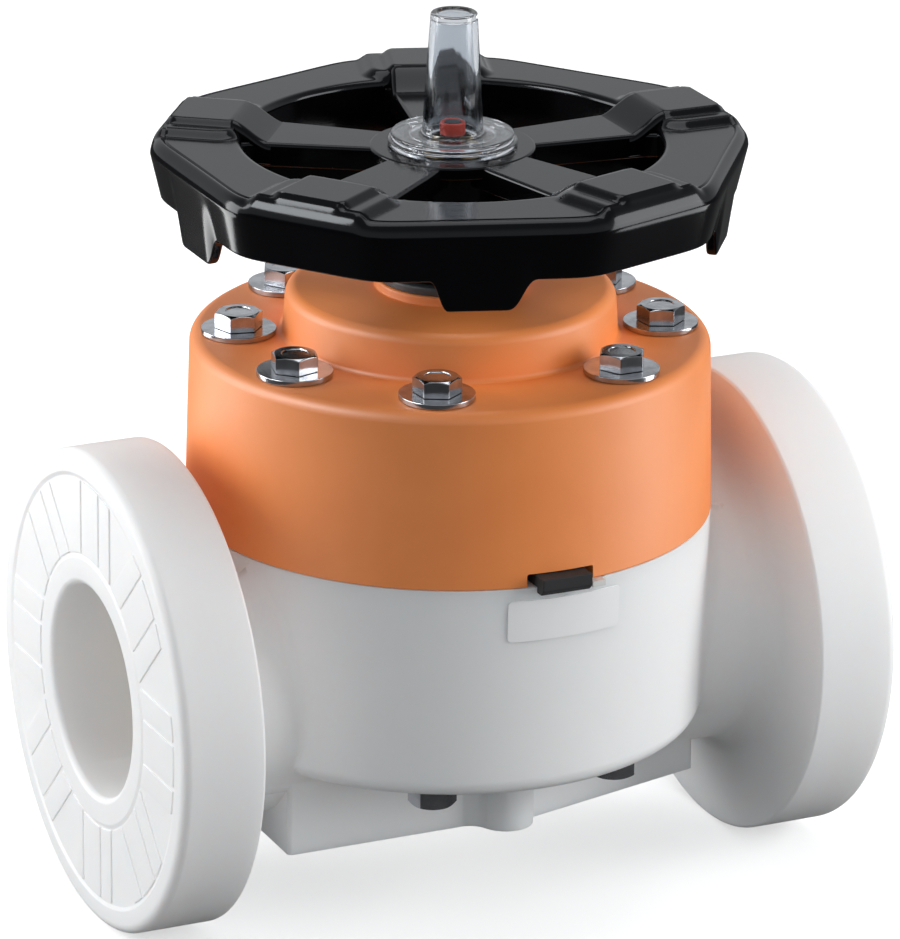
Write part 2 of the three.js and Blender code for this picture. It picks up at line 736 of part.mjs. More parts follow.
// Collar screwed into the dome over the bearing.
function makeCollar() {
  const bore = bushRadius + runningGap;
  const sealRoom = bore + sealThickness + seatGap;
  const sealFloor = collarSpigotFloor + (domeTopHeight - collarSpigotFloor) / 2;
  const spigot = bearingRadius - seatGap;
  const outer = collarDiameter / 2;
  return turned([
    at(bore, collarSpigotFloor),
    at(spigot, collarSpigotFloor),
    at(spigot, collarFloor),
    at(outer, collarFloor),
    at(outer, collarTop - headChamfer),
    at(outer - headChamfer, collarTop),
    at(bore, collarTop),
    at(bore, sealFloor + sealHeight + 2 * seatGap),
    at(sealRoom, sealFloor + sealHeight + 2 * seatGap),
    at(sealRoom, sealFloor),
    at(bore, sealFloor),
    at(bore, collarSpigotFloor),
  ], seatFacets);
}

// Seal ring in the collar's groove.
function makeSeal() {
  const floor = collarSpigotFloor + (domeTopHeight - collarSpigotFloor) / 2 + seatGap;
  const inner = bushRadius + runningGap;
  return ring(inner + sealThickness, inner, floor, floor + sealHeight, seatFacets);
}

// Distance from the axis to the wheel's outer face at an angle: a ten-sided outline, corners eased.
function rimReach(angle) {
  let sum = 0;
  for (let side = 0; side < 2 * spokeCount; side += 1) {
    const distance = side % 2 === 0 ? padFaceDistance : lobeFaceDistance;
    const facing = Math.cos(angle - (side * spokeAngle) / 2);
    if (facing > 0) sum += (facing / distance) ** rimCornerSharpness;
  }
  return sum ** (-1 / rimCornerSharpness);
}

// Places along the face of a lobe, from its middle: both ends of each flank and steps between them.
const lobeFlanks = [-1, 1].map((side) => Array.from({ length: flankSteps + 1 }, (_, i) =>
  THREE.MathUtils.lerp((side * lobeTopWidth) / 2, (side * lobeTipWidth) / 2 - lobeTipShift, i / flankSteps)));

// Drop of the skirt's lower edge at an angle: a rounded lobe midway between spokes.
function lobeDepth(angle) {
  const along = lobeFaceDistance * Math.tan(angle - spokeAngle / 2);
  if (Math.abs(angle - spokeAngle / 2) > spokeAngle / 2) return 0;
  const [low, high] = lobeFlanks.map((flank) =>
    THREE.MathUtils.smoothstep((along - flank[0]) / (flank[flankSteps] - flank[0]), 0, 1));
  return lobeDrop * Math.min(low, high);
}

// Angles of one sector of the rim, from one spoke to the next, closer together across the lobe.
function sectorAngles() {
  const lobe = lobeFlanks.flat().map((along) => spokeAngle / 2 + Math.atan(along / lobeFaceDistance));
  const corner = Math.atan2(padFaceDistance - lobeFaceDistance * Math.cos(spokeAngle / 2),
    lobeFaceDistance * Math.sin(spokeAngle / 2));
  const turn = spokeAngle / 2 - corner;
  const plain = [0, 0.5, 0.8, 1, 1.12].map((share) => share * turn);
  const mirrored = plain.slice(1).map((angle) => spokeAngle - angle);
  return [...plain, ...lobe, ...mirrored].sort((a, b) => a - b);
}

// Hollow rim: each angle has one closed section, and the sections are joined round the wheel.
function rim() {
  const sector = sectorAngles();
  const sections = [];
  for (let spoke = 0; spoke < spokeCount; spoke += 1) {
    for (const angle of sector) {
      const reach = rimReach(angle);
      const window = rimWindowDiameter / 2;
      const floor = wheelTop - rimDepth - lobeDepth(angle);
      const foot = reach - (skirtDraft * (wheelTop - rimShoulder - floor)) / rimDepth;
      const roof = wheelTop - rimWall;
      const section = [
        at(foot - skirtEdge, floor),
        at(foot, floor + skirtEdge),
        at(reach, wheelTop - rimShoulder),
        at(reach - rimShoulder / 4, wheelTop - rimShoulder / 3),
        at(reach - rimShoulder, wheelTop),
        at(window + rimInnerRound, wheelTop),
        at(window, wheelTop - rimInnerRound),
        at(window, wheelTop - rimInnerDepth),
        at(window + rimWall, wheelTop - rimInnerDepth),
        at(window + rimWall, roof),
        at(reach - rimShoulder, roof),
        at(reach - rimWall, roof - rimShoulder),
        at(foot - rimWall, floor),
      ];
      sections.push({ angle: angle + spoke * spokeAngle, section });
    }
  }
  return solid(loopOf(sections));
}

// Geometry of closed sections joined into a ring about +Z.
function loopOf(sections) {
  const count = sections[0].section.length;
  const points = sections.flatMap(({ angle, section }) => section.flatMap((point) =>
    [point.x * Math.cos(angle), point.x * Math.sin(angle), point.y]));
  const index = [];
  for (let i = 0; i < sections.length; i += 1) {
    const next = (i + 1) % sections.length;
    for (let k = 0; k < count; k += 1) {
      const over = (k + 1) % count;
      const [a, b, c, d] = [i * count + k, i * count + over, next * count + over, next * count + k];
      index.push(a, b, c, a, c, d);
    }
  }
  const geometry = new THREE.BufferGeometry();
  geometry.setAttribute('position', new THREE.Float32BufferAttribute(points, 3));
  geometry.setIndex(index);
  return geometry;
}

// Two-tier pad over the rim at the end of a spoke.
function pad() {
  const outline = (inner, outer, innerHalf, outerHalf) => [
    at(inner, -innerHalf), at(outer, -outerHalf), at(outer, outerHalf), at(inner, innerHalf),
  ];
  const tip = padTipWidth / 2;
  const narrow = tip - padTipNarrowing / 2;
  const upper = outline(padInnerDistance, padFaceDistance - padInset, narrow, tip);
  const lower = outline(rimWindowDiameter / 2, padFaceDistance - padStepInset,
    narrow + padStepMargin, tip + padStepMargin);
  const floor = wheelTop - rimWall;
  const bevelOf = (tier) => Math.min(padBevel, (tier[1].x - tier[0].x) / tier.length);
  return prism(lower, floor, wheelTop + padStepLift, bevelOf(lower))
    .add(prism(upper, floor, wheelTop + padTipLift, bevelOf(upper)));
}

// Flared spoke from the hub to the rim, with a rib along its underside.
function spoke() {
  const top = wheelTop - spokeSink;
  const floor = top - spokeThickness;
  const inner = hubDiameter / 2 - overrun;
  const outer = rimWindowDiameter / 2 + rimWall / 2;
  const bar = (innerHalf, outerHalf) => [
    at(inner, -innerHalf), at(outer, -outerHalf), at(outer, outerHalf), at(inner, innerHalf),
  ];
  const rib = bar(spokeRibWidth / 2, spokeRibWidth / 2);
  return prism(bar(spokeHubWidth / 2, spokeRimWidth / 2), floor, top, spokeBevel)
    .add(prism(rib, floor - spokeRibDepth, floor + spokeBevel));
}

// Hub with its disc, before it is bored.
function hub() {
  const disc = hubDiscDiameter / 2;
  const discFloor = hubDiscTop - hubDiscThickness;
  return turned([
    at(0, hubFloor),
    at(hubDiameter / 2, hubFloor),
    at(hubDiameter / 2, discFloor),
    at(disc, discFloor),
    at(disc, hubDiscTop - headChamfer),
    at(disc - headChamfer, hubDiscTop),
    at(0, hubDiscTop),
  ], midFacets);
}

function makeHandwheel() {
  const arms = Array.from({ length: spokeCount }, (_, i) => {
    const turn = [0, 0, (360 * i) / spokeCount];
    return pad().add(spoke()).rotate(turn);
  });
  const bore = post(bushRadius + seatGap, hubFloor - overrun, hubDiscTop + overrun, 0, 0, midFacets);
  const recess = post(hubRecessDiameter / 2, hubRecessFloor, hubDiscTop + overrun, 0, 0, midFacets);
  return cutAll(unite([rim(), hub(), ...arms]), [bore, recess, keyShape(seatGap)]);
}

// Clear cap: stepped flange, tapered tower with a dished top, spigot in the hub.
function makeCap() {
  const floor = hubDiscTop + seatGap;
  const flange = capFlangeDiameter / 2;
  const step = capStepDiameter / 2;
  const stepFloor = floor + capFlangeThickness;
  const stepTop = stepFloor + capStepThickness;
  const foot = capFootDiameter / 2;
  const top = capTopDiameter / 2;
  const peak = hubDiscTop + capHeight;
  const spigot = hubRecessDiameter / 2 - seatGap;
  return turned([
    at(0, peak - capDishDepth),
    at(top - capDishMargin, peak - capDishDepth),
    at(top - capDishMargin + capDishDepth, peak),
    at(top - capRound, peak),
    at(top, peak - capRound),
    at(foot, stepTop + capFootRound),
    at(foot + capFootRound, stepTop),
    at(step, stepTop),
    at(step, stepFloor),
    at(flange, stepFloor),
    at(flange, floor),
    at(spigot, floor),
    at(spigot, floor - capSpigotDepth),
    at(spigot - capSpigotWall, floor - capSpigotDepth),
    at(spigot - capSpigotWall, stepFloor),
    at(foot - capWall, stepFloor),
    at(top - capWall, peak - capTopWall),
    at(0, peak - capTopWall),
  ], midFacets);
}

function makeWheelNut() {
  const floor = hubRecessFloor + seatGap;
  return hexagonHead(wheelNutAcrossFlats, floor, floor + wheelNutHeight, headChamfer)
    .subtract(post(bushTopDiameter / 2 + seatGap, floor - overrun, floor + wheelNutHeight + overrun,
      0, 0, midFacets));
}

const indicatorTop = hubDiscTop + indicatorRise;

function makeIndicatorRod() {
  const floor = spindleTopHeight + seatGap;
  const neck = indicatorTop - indicatorRingHeight;
  const radius = indicatorRodDiameter / 2;
  const core = radius - seatGap;
  return turned([
    at(0, floor), at(radius, floor), at(radius, neck), at(core, neck), at(core, indicatorTop),
    at(0, indicatorTop),
  ], smallFacets);
}

function makeIndicatorRing() {
  const floor = indicatorTop - indicatorRingHeight + seatGap;
  return ring(indicatorRingDiameter / 2, indicatorRodDiameter / 2, floor, indicatorTop, smallFacets);
}

// Bolt standing on its washer: its shank ends in a nut beside the passage, in an insert above it.
function makeBolt(shankEnd) {
  const floor = boltFaceHeight + washerThickness + 2 * seatGap;
  const shank = post(boltDiameter / 2, shankEnd, floor + headHeight / 2, 0, 0, smallFacets);
  return hexagonHead(headAcrossFlats, floor, floor + headHeight, headChamfer).add(shank);
}

function flatWasher(diameter, floor, thickness) {
  return ring(diameter / 2, boltHoleRadius, floor, floor + thickness, smallFacets);
}

const nutWasherFloor = -bowlDepth - seatGap - nutWasherThickness;
const nutFloor = nutWasherFloor - seatGap - nutHeight;

function makeNut() {
  return hexagonHead(headAcrossFlats, nutFloor, nutFloor + nutHeight, headChamfer)
    .subtract(post(boltDiameter / 2 + seatGap, nutFloor - overrun, nutFloor + nutHeight + overrun));
}

// Threaded sleeve with a blind or open hole.
function sleeve(diameter, hole, floor, top, holeFloor, holeTop) {
  return post(diameter / 2, floor, top).subtract(post(hole / 2, holeFloor, holeTop));
}

const thrustWasher = (floor) => ring(bearingRadius - seatGap, bushRadius + runningGap, floor,
  floor + thrustWasherThickness, seatFacets);

// Named mesh of a solid made at the spindle axis and moved to its place.
function placed(name, manifold, material, { x, y }) {
  const mesh = piece(name, manifold, material);
  mesh.position.set(x, y, 0);
  return mesh;
}

const valve = new THREE.Group();

const bodyAssembly = new THREE.Group();
bodyAssembly.add(piece('body', makeBody(), whitePlastic()));
for (const [sign, side] of [[-1, 'front'], [1, 'rear']]) {
  const place = { x: footBossShift, y: (sign * footBossSpacing) / 2 };
  const top = -footDepth + footInsertDepth;
  const insert = sleeve(footInsertDiameter, footThreadDiameter, -footDepth, top,
    -footDepth - overrun, top - overrun);
  bodyAssembly.add(placed(`foot_insert_${side}`, insert, brass(), place));
}

const diaphragmAssembly = new THREE.Group();
const facing = membrane(0, facingThickness).subtract(studRoom());
const cushion = membrane(facingThickness + layerGap, cushionThickness).subtract(studRoom());
diaphragmAssembly.add(
  piece('facing_membrane', facing, whitePlastic()),
  piece('cushion_membrane', cushion, blackRubber()),
  piece('facing_rim', makeFacingRim(), whitePlastic()),
  piece('cushion_rim', makeCushionRim(), blackRubber()),
);

const bonnetAssembly = new THREE.Group();
bonnetAssembly.add(piece('bonnet', makeBonnet(), orangePlastic()));
for (const place of boltPlaces) {
  const through = place.kind === 'side';
  const insertFloor = partingHeight - boltInsertDepth;
  const bolt = makeBolt(through ? nutFloor - boltProtrusion : insertFloor + overrun);
  const washer = flatWasher(washerDiameter, boltFaceHeight + seatGap, washerThickness);
  bonnetAssembly.add(
    placed(`bolt_${place.name}`, bolt, zincSteel(), place),
    placed(`washer_${place.name}`, washer, zincSteel(), place),
  );
  if (through) {
    const nutWasher = flatWasher(nutWasherDiameter, nutWasherFloor, nutWasherThickness);
    bonnetAssembly.add(
      placed(`nut_${place.name}`, makeNut(), zincSteel(), place),
      placed(`nut_washer_${place.name}`, nutWasher, zincSteel(), place),
    );
  } else {
    const insert = sleeve(boltInsertDiameter, boltDiameter + 2 * seatGap, insertFloor,
      partingHeight, insertFloor + overrun - seatGap, partingHeight + overrun);
    bonnetAssembly.add(placed(`bolt_insert_${place.name}`, insert, brass(), place));
  }
}

const bearingAssembly = new THREE.Group();
bearingAssembly.add(
  piece('thrust_washer_lower', thrustWasher(thrustSeat + seatGap), greyPlastic()),
  piece('thrust_washer_upper', thrustWasher(upperWasherFloor), greyPlastic()),
  piece('bearing_collar', makeCollar(), greyPlastic()),
  piece('bush_seal', makeSeal(), blackRubber()),
);

const spindleAssembly = new THREE.Group();
const pin = crossPin(spindlePinDiameter / 2, compressorBossDiameter / 2 - seatGap);
spindleAssembly.add(
  piece('compressor', makeCompressor(), greyPlastic()),
  piece('diaphragm_stud', makeStud(), plainSteel()),
  piece('spindle', makeSpindle(), plainSteel()),
  piece('spindle_pin', pin, plainSteel()),
  piece('indicator_rod', makeIndicatorRod(), greyPlastic()),
  piece('indicator_ring', makeIndicatorRing(), redPlastic()),
);

const wheelAssembly = new THREE.Group();
wheelAssembly.add(
  piece('threaded_bush', makeBush(), brass()),
  piece('handwheel', makeHandwheel(), blackPlastic()),
  piece('wheel_key', keyShape(0), plainSteel()),
  piece('wheel_nut', makeWheelNut(), plainSteel()),
  piece('indicator_cap', makeCap(), clearPlastic()),
);

valve.add(bodyAssembly, diaphragmAssembly, bonnetAssembly, bearingAssembly, spindleAssembly,
  wheelAssembly);

export default valve;
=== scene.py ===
"""Looks of a flanged diaphragm valve with a handwheel, built around its packed CAD frame.

Every piece is made in metres, in the frame of the CAD model: +Z up, the pipe along X, the
spindle on the Z axis, the pipe's axis at height zero.
"""

import logging
import math
from dataclasses import dataclass, field
from enum import Enum
from typing import Iterable, Sequence

import bmesh
import bpy
from mathutils import Matrix, Vector


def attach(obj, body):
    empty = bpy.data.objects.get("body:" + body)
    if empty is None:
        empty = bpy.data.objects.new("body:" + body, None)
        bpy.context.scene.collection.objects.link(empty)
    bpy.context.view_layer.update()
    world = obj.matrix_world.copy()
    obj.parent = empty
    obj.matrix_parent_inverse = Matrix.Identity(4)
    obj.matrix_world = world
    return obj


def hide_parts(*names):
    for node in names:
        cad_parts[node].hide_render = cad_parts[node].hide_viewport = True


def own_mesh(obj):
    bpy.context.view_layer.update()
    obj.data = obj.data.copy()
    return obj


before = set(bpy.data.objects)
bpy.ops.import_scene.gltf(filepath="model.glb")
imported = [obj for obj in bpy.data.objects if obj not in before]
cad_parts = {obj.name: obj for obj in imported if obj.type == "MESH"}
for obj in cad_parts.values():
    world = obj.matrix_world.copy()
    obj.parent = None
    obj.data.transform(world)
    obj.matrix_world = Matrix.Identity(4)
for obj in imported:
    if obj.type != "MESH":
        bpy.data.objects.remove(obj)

log = logging.getLogger("diaphragm_valve")

Point2 = tuple[float, float]
Point3 = tuple[float, float, float]
Corner = tuple[float, ...]
Colour = tuple[float, float, float]
Object = bpy.types.Object
Node = bpy.types.Node
Socket = bpy.types.NodeSocket
Sockets = bpy.types.bpy_prop_collection
Tree = bpy.types.NodeTree

FULL_TURN = 2.0 * math.pi
UP = (0.0, 0.0, 1.0)
# room between two pieces that touch
SEAT_GAP = 0.0002
# how far a cutting solid reaches past the face that it opens
OVERRUN = 0.002
# how far the foot reaches into the bowl
LAP = 0.003

GEOMETRY = "NodeSocketGeometry"
MATERIAL = "NodeSocketMaterial"
NUMBER = "NodeSocketFloat"
COLOUR = "NodeSocketColor"
SOCKET_TYPES = {int: "NodeSocketInt", float: NUMBER, tuple: "NodeSocketVector"}

# inputs of the tree that bends the handwheel's rim, each a field of Handwheel
RIM_SIZES = (
    "Plain Reach", "Pad Face", "Lobe Face", "Sharpness", "Lobe Drop", "Lobe Top", "Lobe Tip",
    "Tip Shift", "Pad Middle", "Pad Inner", "Pad Outer", "Pad Half", "Pad Round", "Pad Slope",
    "Pad Lift", "Step Inner", "Step Outer", "Step Half", "Step Round", "Step Slope",
    "Step Lift",
)


class Axis(Enum):
    """Axis that a turned form goes round."""

    X = "x"
    Z = "z"


class Cut(Enum):
    """How a tool solid changes the solid that it meets."""

    JOIN = "UNION"
    REMOVE = "DIFFERENCE"
    KEEP = "INTERSECT"


class Body(Enum):
    """Moving group of the frame that a piece rides on."""

    HOUSING = "housing"
    WHEEL = "wheel"
    STEM = "stem"


# Outlines


def rounded(corners: Sequence[Corner], steps: int = 8) -> list[Point2]:
    """Outline with its corners rounded by arcs.

    Args:
        corners: closed outline, each corner with its rounding radius, or without one if sharp.
        steps: straight pieces in one arc.

    Returns:
        The points of the rounded outline, in the same order.
    """
    points: list[Point2] = []
    for i, (u, v, *ease) in enumerate(corners):
        here = Vector((u, v))
        if not ease:
            points.append((u, v))
            continue
        radius = ease[0]
        before = Vector(corners[i - 1][:2]) - here
        after = Vector(corners[(i + 1) % len(corners)][:2]) - here
        angle = before.angle(after)
        reach = radius / math.tan(angle / 2)
        start = here + before.normalized() * reach
        end = here + after.normalized() * reach
        middle = here + (before.normalized() + after.normalized()).normalized() * (
            radius / math.sin(angle / 2)
        )
        first, last = start - middle, end - middle
        sweep = first.angle_signed(last)
        for k in range(steps + 1):
            turned = first.copy()
            turned.rotate(Matrix.Rotation(-sweep * k / steps, 2))
            points.append(tuple(middle + turned))
    return points


def arc(middle: Point2, radius: float, start: float, end: float, steps: int) -> list[Point2]:
    """Points along an arc, both ends included.

    Args:
        middle: the arc's centre.
        radius: its radius.
        start: angle of the first point, in radians.
        end: angle of the last point.
        steps: straight pieces in the arc.

    Returns:
        The points in order.
    """
    turns = [start + (end - start) * i / steps for i in range(steps + 1)]
    return [(middle[0] + radius * math.cos(a), middle[1] + radius * math.sin(a)) for a in turns]


def smooth_step(share: float) -> float:
    """Rise from 0 to 1 that starts and ends level."""
    return share * share * (3 - 2 * share)


def regular(sides: int, across_flats: float) -> list[Point2]:
    """Regular outline, counter-clockwise, with a corner on the X axis."""
    radius = across_flats / 2 / math.cos(math.pi / sides)
    return arc((0.0, 0.0), radius, 0.0, FULL_TURN, sides)[:-1]


# Solids


def linked(name: str, data: bpy.types.ID) -> Object:
    """New object around its data, linked to the scene."""
    made = bpy.data.objects.new(name, data)
    bpy.context.scene.collection.objects.link(made)
    return made


def mesh_object(name: str, vertices: Sequence[Point3], faces: Sequence[Sequence[int]]) -> Object:
    """Object from vertices and faces, linked to the scene, faces turned outward.

    Args:
        name: the object's name.
        vertices: places of the vertices.
        faces: corners of each face.

    Returns:
        The new object.
    """
    mesh = bpy.data.meshes.new(name)
    mesh.from_pydata([tuple(v) for v in vertices], [], [tuple(f) for f in faces])
    made = linked(name, mesh)
    turn_outward(made)
    return made


def turn_outward(made: Object) -> None:
    """Makes every face of a closed mesh look outward."""
    shape = bmesh.new()
    shape.from_mesh(made.data)
    bmesh.ops.recalc_face_normals(shape, faces=shape.faces)
    shape.to_mesh(made.data)
    shape.free()


def revolve(name: str, outline: Sequence[Point2], segments: int, axis: Axis = Axis.Z) -> Object:
    """Closed solid turned from an outline.

    Args:
        name: the object's name.
        outline: closed outline of (radius, height) points; a point of no radius is a pole.
        segments: steps round the axis.
        axis: the axis it is turned about.

    Returns:
        The solid.
    """
    vertices: list[Point3] = []
    rings: list[list[int]] = []
    for radius, height in outline:
        count = 1 if radius < 1e-7 else segments
        first = len(vertices)
        for i in range(count):
            turn = FULL_TURN * i / segments
            across, along = radius * math.cos(turn), radius * math.sin(turn)
            vertices.append((height, across, along) if axis is Axis.X else (across, along, height))
        rings.append([first + i for i in range(count)])
    faces: list[list[int]] = []
    for low, high in zip(rings, rings[1:] + rings[:1]):
        if len(low) == 1 and len(high) == 1:
            continue
        for i in range(segments):
            n = (i + 1) % segments
            if len(low) == 1:
                faces.append([low[0], high[n], high[i]])
            elif len(high) == 1:
                faces.append([low[i], low[n], high[0]])
            else:
                faces.append([low[i], low[n], high[n], high[i]])
    return mesh_object(name, vertices, faces)


def rod(name: str, radius: float, low: float, high: float, segments: int = 32) -> Object:
    """Upright cylinder on the Z axis."""
    return revolve(name, [(0.0, low), (radius, low), (radius, high), (0.0, high)], segments)


def tube(name: str, inner: float, outer: float, low: float, high: float) -> Object:
    """Upright tube on the Z axis."""
    return revolve(name, [(inner, low), (outer, low), (outer, high), (inner, high)], 96)


def loft(name: str, sections: Sequence[Sequence[Point3]]) -> Object:
    """Solid through closed sections of equal point count, capped at both ends.

    Args:
        name: the object's name.
        sections: the sections in order, each a closed loop.

    Returns:
        The solid.
    """
    count = len(sections[0])
    vertices = [point for section in sections for point in section]
    faces: list[list[int]] = []
    for low in range(0, len(vertices) - count, count):
        for i in range(count):
            n = (i + 1) % count
            faces.append([low + i, low + n, low + count + n, low + count + i])
    faces.append(list(range(count)))
    faces.append([len(vertices) - count + i for i in range(count)])
    return mesh_object(name, vertices, faces)


def prism(name: str, outline: Sequence[Point2], low: float, high: float) -> Object:
    """Upright solid over an outline in the XY plane."""
    return loft(name, [[(u, v, low) for u, v in outline], [(u, v, high) for u, v in outline]])


def block(name: str, low: Point3, high: Point3) -> Object:
    """Upright box between two corners."""
    outline = [(low[0], low[1]), (high[0], low[1]), (high[0], high[1]), (low[0], high[1])]
    return prism(name, outline, low[2], high[2])


def moved(made: Object, change: Matrix) -> Object:
    """Moves the mesh itself, so that the object stays at the origin."""
    made.data.transform(change)
    if change.determinant() < 0:
        turn_outward(made)
    return made


def stood(made: Object, place: Point2) -> Object:
    """Moves a solid sideways to its place."""
    return moved(made, Matrix.Translation((*place, 0.0)))


def settle(made: Object) -> Object:
    """Bakes an object's modifiers into its mesh and removes them."""
    bpy.context.view_layer.update()
    graph = bpy.context.evaluated_depsgraph_get()
    mesh = bpy.data.meshes.new_from_object(made.evaluated_get(graph), depsgraph=graph)
    made.modifiers.clear()
    old = made.data
    made.data = mesh
    mesh.name = made.name
    bpy.data.meshes.remove(old)
    return made


def shape_with(made: Object, tools: Iterable[Object], cut: Cut) -> Object:
    """Joins, removes or intersects tool solids, then discards them.

    Args:
        made: the solid that is changed.
        tools: solids that meet it.
        cut: what they do to it.

    Returns:
        The changed solid.
    """
    for tool in tools:
        change = made.modifiers.new("shape", "BOOLEAN")
        change.operation = cut.value
        change.solver = "MANIFOLD"
        change.object = tool
        settle(made)
        discard(tool)
    return made


def discard(made: Object) -> None:
    """Removes an object and its mesh."""
    mesh = made.data
    bpy.data.objects.remove(made)
    bpy.data.meshes.remove(mesh)


def merged(name: str, parts: Sequence[Object]) -> Object:
    """One object holding the meshes of several, which are discarded."""
    shape = bmesh.new()
    for part in parts:
        shape.from_mesh(part.data)
    mesh = bpy.data.meshes.new(name)
    shape.to_mesh(mesh)
    shape.free()
    for part in parts:
        discard(part)
    return linked(name, mesh)


def shaded(made: Object, crease: float) -> Object:
    """Smooth shading that keeps the edges over an angle in degrees sharp."""
    made.data.shade_smooth()
    made.data.set_sharp_from_angle(angle=math.radians(crease))
    return made


def weighted(made: Object) -> Object:
    """Weighted normals that keep the sharp edges."""
    weight = made.modifiers.new("normals", "WEIGHTED_NORMAL")
    weight.keep_sharp = True
    return settle(made)


def softened(made: Object, width: float = 0.0, segments: int = 3, crease: float = 30.0) -> Object:
    """Bevels the sharp edges and gives smooth, weighted normals.

    Args:
        made: the solid.
        width: bevel width; zero leaves the edges as they are.
        segments: steps in the bevel.
        crease: angle in degrees over which an edge counts as sharp.

    Returns:
        The same object, with a plain mesh.
    """
    if width > 0.0:
        bevel = made.modifiers.new("edges", "BEVEL")
        bevel.width = width
        bevel.segments = segments
        bevel.limit_method = "ANGLE"
        bevel.angle_limit = math.radians(crease)
        bevel.use_clamp_overlap = True
        settle(made)
    return weighted(shaded(made, crease))


# Building nodes


class Wiring:
    """Short hand for placing and joining nodes in one tree."""

    def __init__(self, tree: Tree) -> None:
        """Keeps the tree that the nodes go into."""
        self.tree = tree
        self.place = 0

    def add(self, kind: str, inputs: dict | None = None, **settings) -> Node:
        """Adds a node.

        Args:
            kind: the node's type.
            inputs: sockets by name or index, each a value or an output socket.
            settings: properties of the node.

        Returns:
            The node.
        """
        node = self.tree.nodes.new(kind)
        self.place += 1
        node.location = (220 * (self.place % 12), -260 * (self.place // 12))
        for key, value in settings.items():
            setattr(node, key, value)
        for key, value in (inputs or {}).items():
            self.feed(node.inputs[key], value)
        return node

    def feed(self, socket: Socket, value) -> None:
        """Links an output to a socket, or sets the socket's value."""
        if isinstance(value, Socket):
            self.tree.links.new(value, socket)
        else:
            socket.default_value = value

    def math(self, operation: str, *values) -> Socket:
        """Result of a math node on values or outputs."""
        node = self.add("ShaderNodeMath", operation=operation)
        for socket, value in zip(node.inputs, values):
            self.feed(socket, value)
        return node.outputs[0]

    def plus(self, first, second) -> Socket:
        """Sum of two values or outputs."""
        return self.math("ADD", first, second)

    def minus(self, first, second) -> Socket:
        """Difference of two values or outputs."""
        return self.math("SUBTRACT", first, second)

    def times(self, first, second) -> Socket:
        """Product of two values or outputs."""
        return self.math("MULTIPLY", first, second)

    def over(self, first, second) -> Socket:
        """Quotient of two values or outputs."""
        return self.math("DIVIDE", first, second)

    def scaled(self, value, factor, added) -> Socket:
        """A value times a factor, plus another value."""
        return self.math("MULTIPLY_ADD", value, factor, added)

    def length(self, first, second) -> Socket:
        """Long side of a right-angled triangle over its two short ones."""
        return self.math("SQRT", self.plus(self.times(first, first), self.times(second, second)))

    def mixed(self, share, first, second) -> Socket:
        """Colour between two, by a share."""
        inputs = {"Factor": share, 6: first, 7: second}
        return self.add("ShaderNodeMix", inputs, data_type="RGBA").outputs[2]

    def clouds(self, size, detail: float) -> Socket:
        """Noise in the object's own space whose features have a size."""
        where = self.add("ShaderNodeTexCoord").outputs["Object"]
        inputs = {"Vector": where, "Scale": self.over(1.0, size), "Detail": detail}
        return self.add("ShaderNodeTexNoise", inputs).outputs[0]

    def ramp(self, value, low, high, first=0.0, last=1.0) -> Socket:
        """Smooth step from first to last while value goes from low to high."""
        node = self.add("ShaderNodeMapRange", interpolation_type="SMOOTHSTEP")
        for socket, given in zip(node.inputs, (value, low, high, first, last)):
            self.feed(socket, given)
        return node.outputs[0]


def node_group(
    name: str, kind: str, inputs: dict[str, object], output: str, output_type: str
) -> tuple[Tree, Wiring, Sockets, Node]:
    """Empty node group with its sockets.

    Args:
        name: the group's name.
        kind: type of the node tree.
        inputs: each input by name, with its value, or its socket type where it has no value.
        output: name of the output.
        output_type: socket type of the output.

    Returns:
        The tree, its wiring, the sockets of its input node, and its output node.
    """
    tree = bpy.data.node_groups.new(name, kind)
    for label, value in inputs.items():
        plain = isinstance(value, str)
        kind_of_socket = value if plain else SOCKET_TYPES[type(value)]
        if isinstance(value, tuple) and len(value) == 4:
            kind_of_socket = COLOUR
        socket = tree.interface.new_socket(label, in_out="INPUT", socket_type=kind_of_socket)
        if not plain:
            socket.default_value = value
    tree.interface.new_socket(output, in_out="OUTPUT", socket_type=output_type)
    wiring = Wiring(tree)
    return tree, wiring, wiring.add("NodeGroupInput").outputs, wiring.add("NodeGroupOutput")


def identifier(tree: Tree, label: str) -> str:
    """Identifier of a group's input socket."""
    for item in tree.interface.items_tree:
        if item.item_type == "SOCKET" and item.in_out == "INPUT" and item.name == label:
            return item.identifier
    raise KeyError(label)


def run_tree(made: Object, tree: Tree, values: dict[str, object]) -> Object:
    """Runs a geometry tree on an object and keeps the plain mesh that it makes.

    Args:
        made: the object; its mesh is the tree's geometry input.
        tree: the geometry tree.
        values: the tree's named inputs.

    Returns:
        The object with its new mesh and no modifier.
    """
    step = made.modifiers.new(tree.name, "NODES")
    step.node_group = tree
    for label, value in values.items():
        step[identifier(tree, label)] = value
    made.update_tag()
    settle(made)
    turn_outward(made)
    return made


# Geometry trees


def end_with_copies(
    w: Wiring, given: Sockets, points: Socket, axis, turn,
    result: Node,
) -> None:
    """Ends a geometry tree with copies of its geometry, each turned at its point.

    Args:
        w: wiring of the tree.
        given: sockets of the tree's inputs, with Geometry and Finish among them.
        points: the places of the copies.
        axis: axis that the copies turn about.
        turn: angle of each copy.
        result: output node of the tree.
    """
    around = w.add("FunctionNodeAxisAngleToRotation", {"Axis": axis, "Angle": turn}).outputs[0]
    inputs = {"Points": points, "Instance": given["Geometry"], "Rotation": around}
    copies = w.add("GeometryNodeInstanceOnPoints", inputs)
    finish_tree(w, copies.outputs[0], given["Finish"], result)


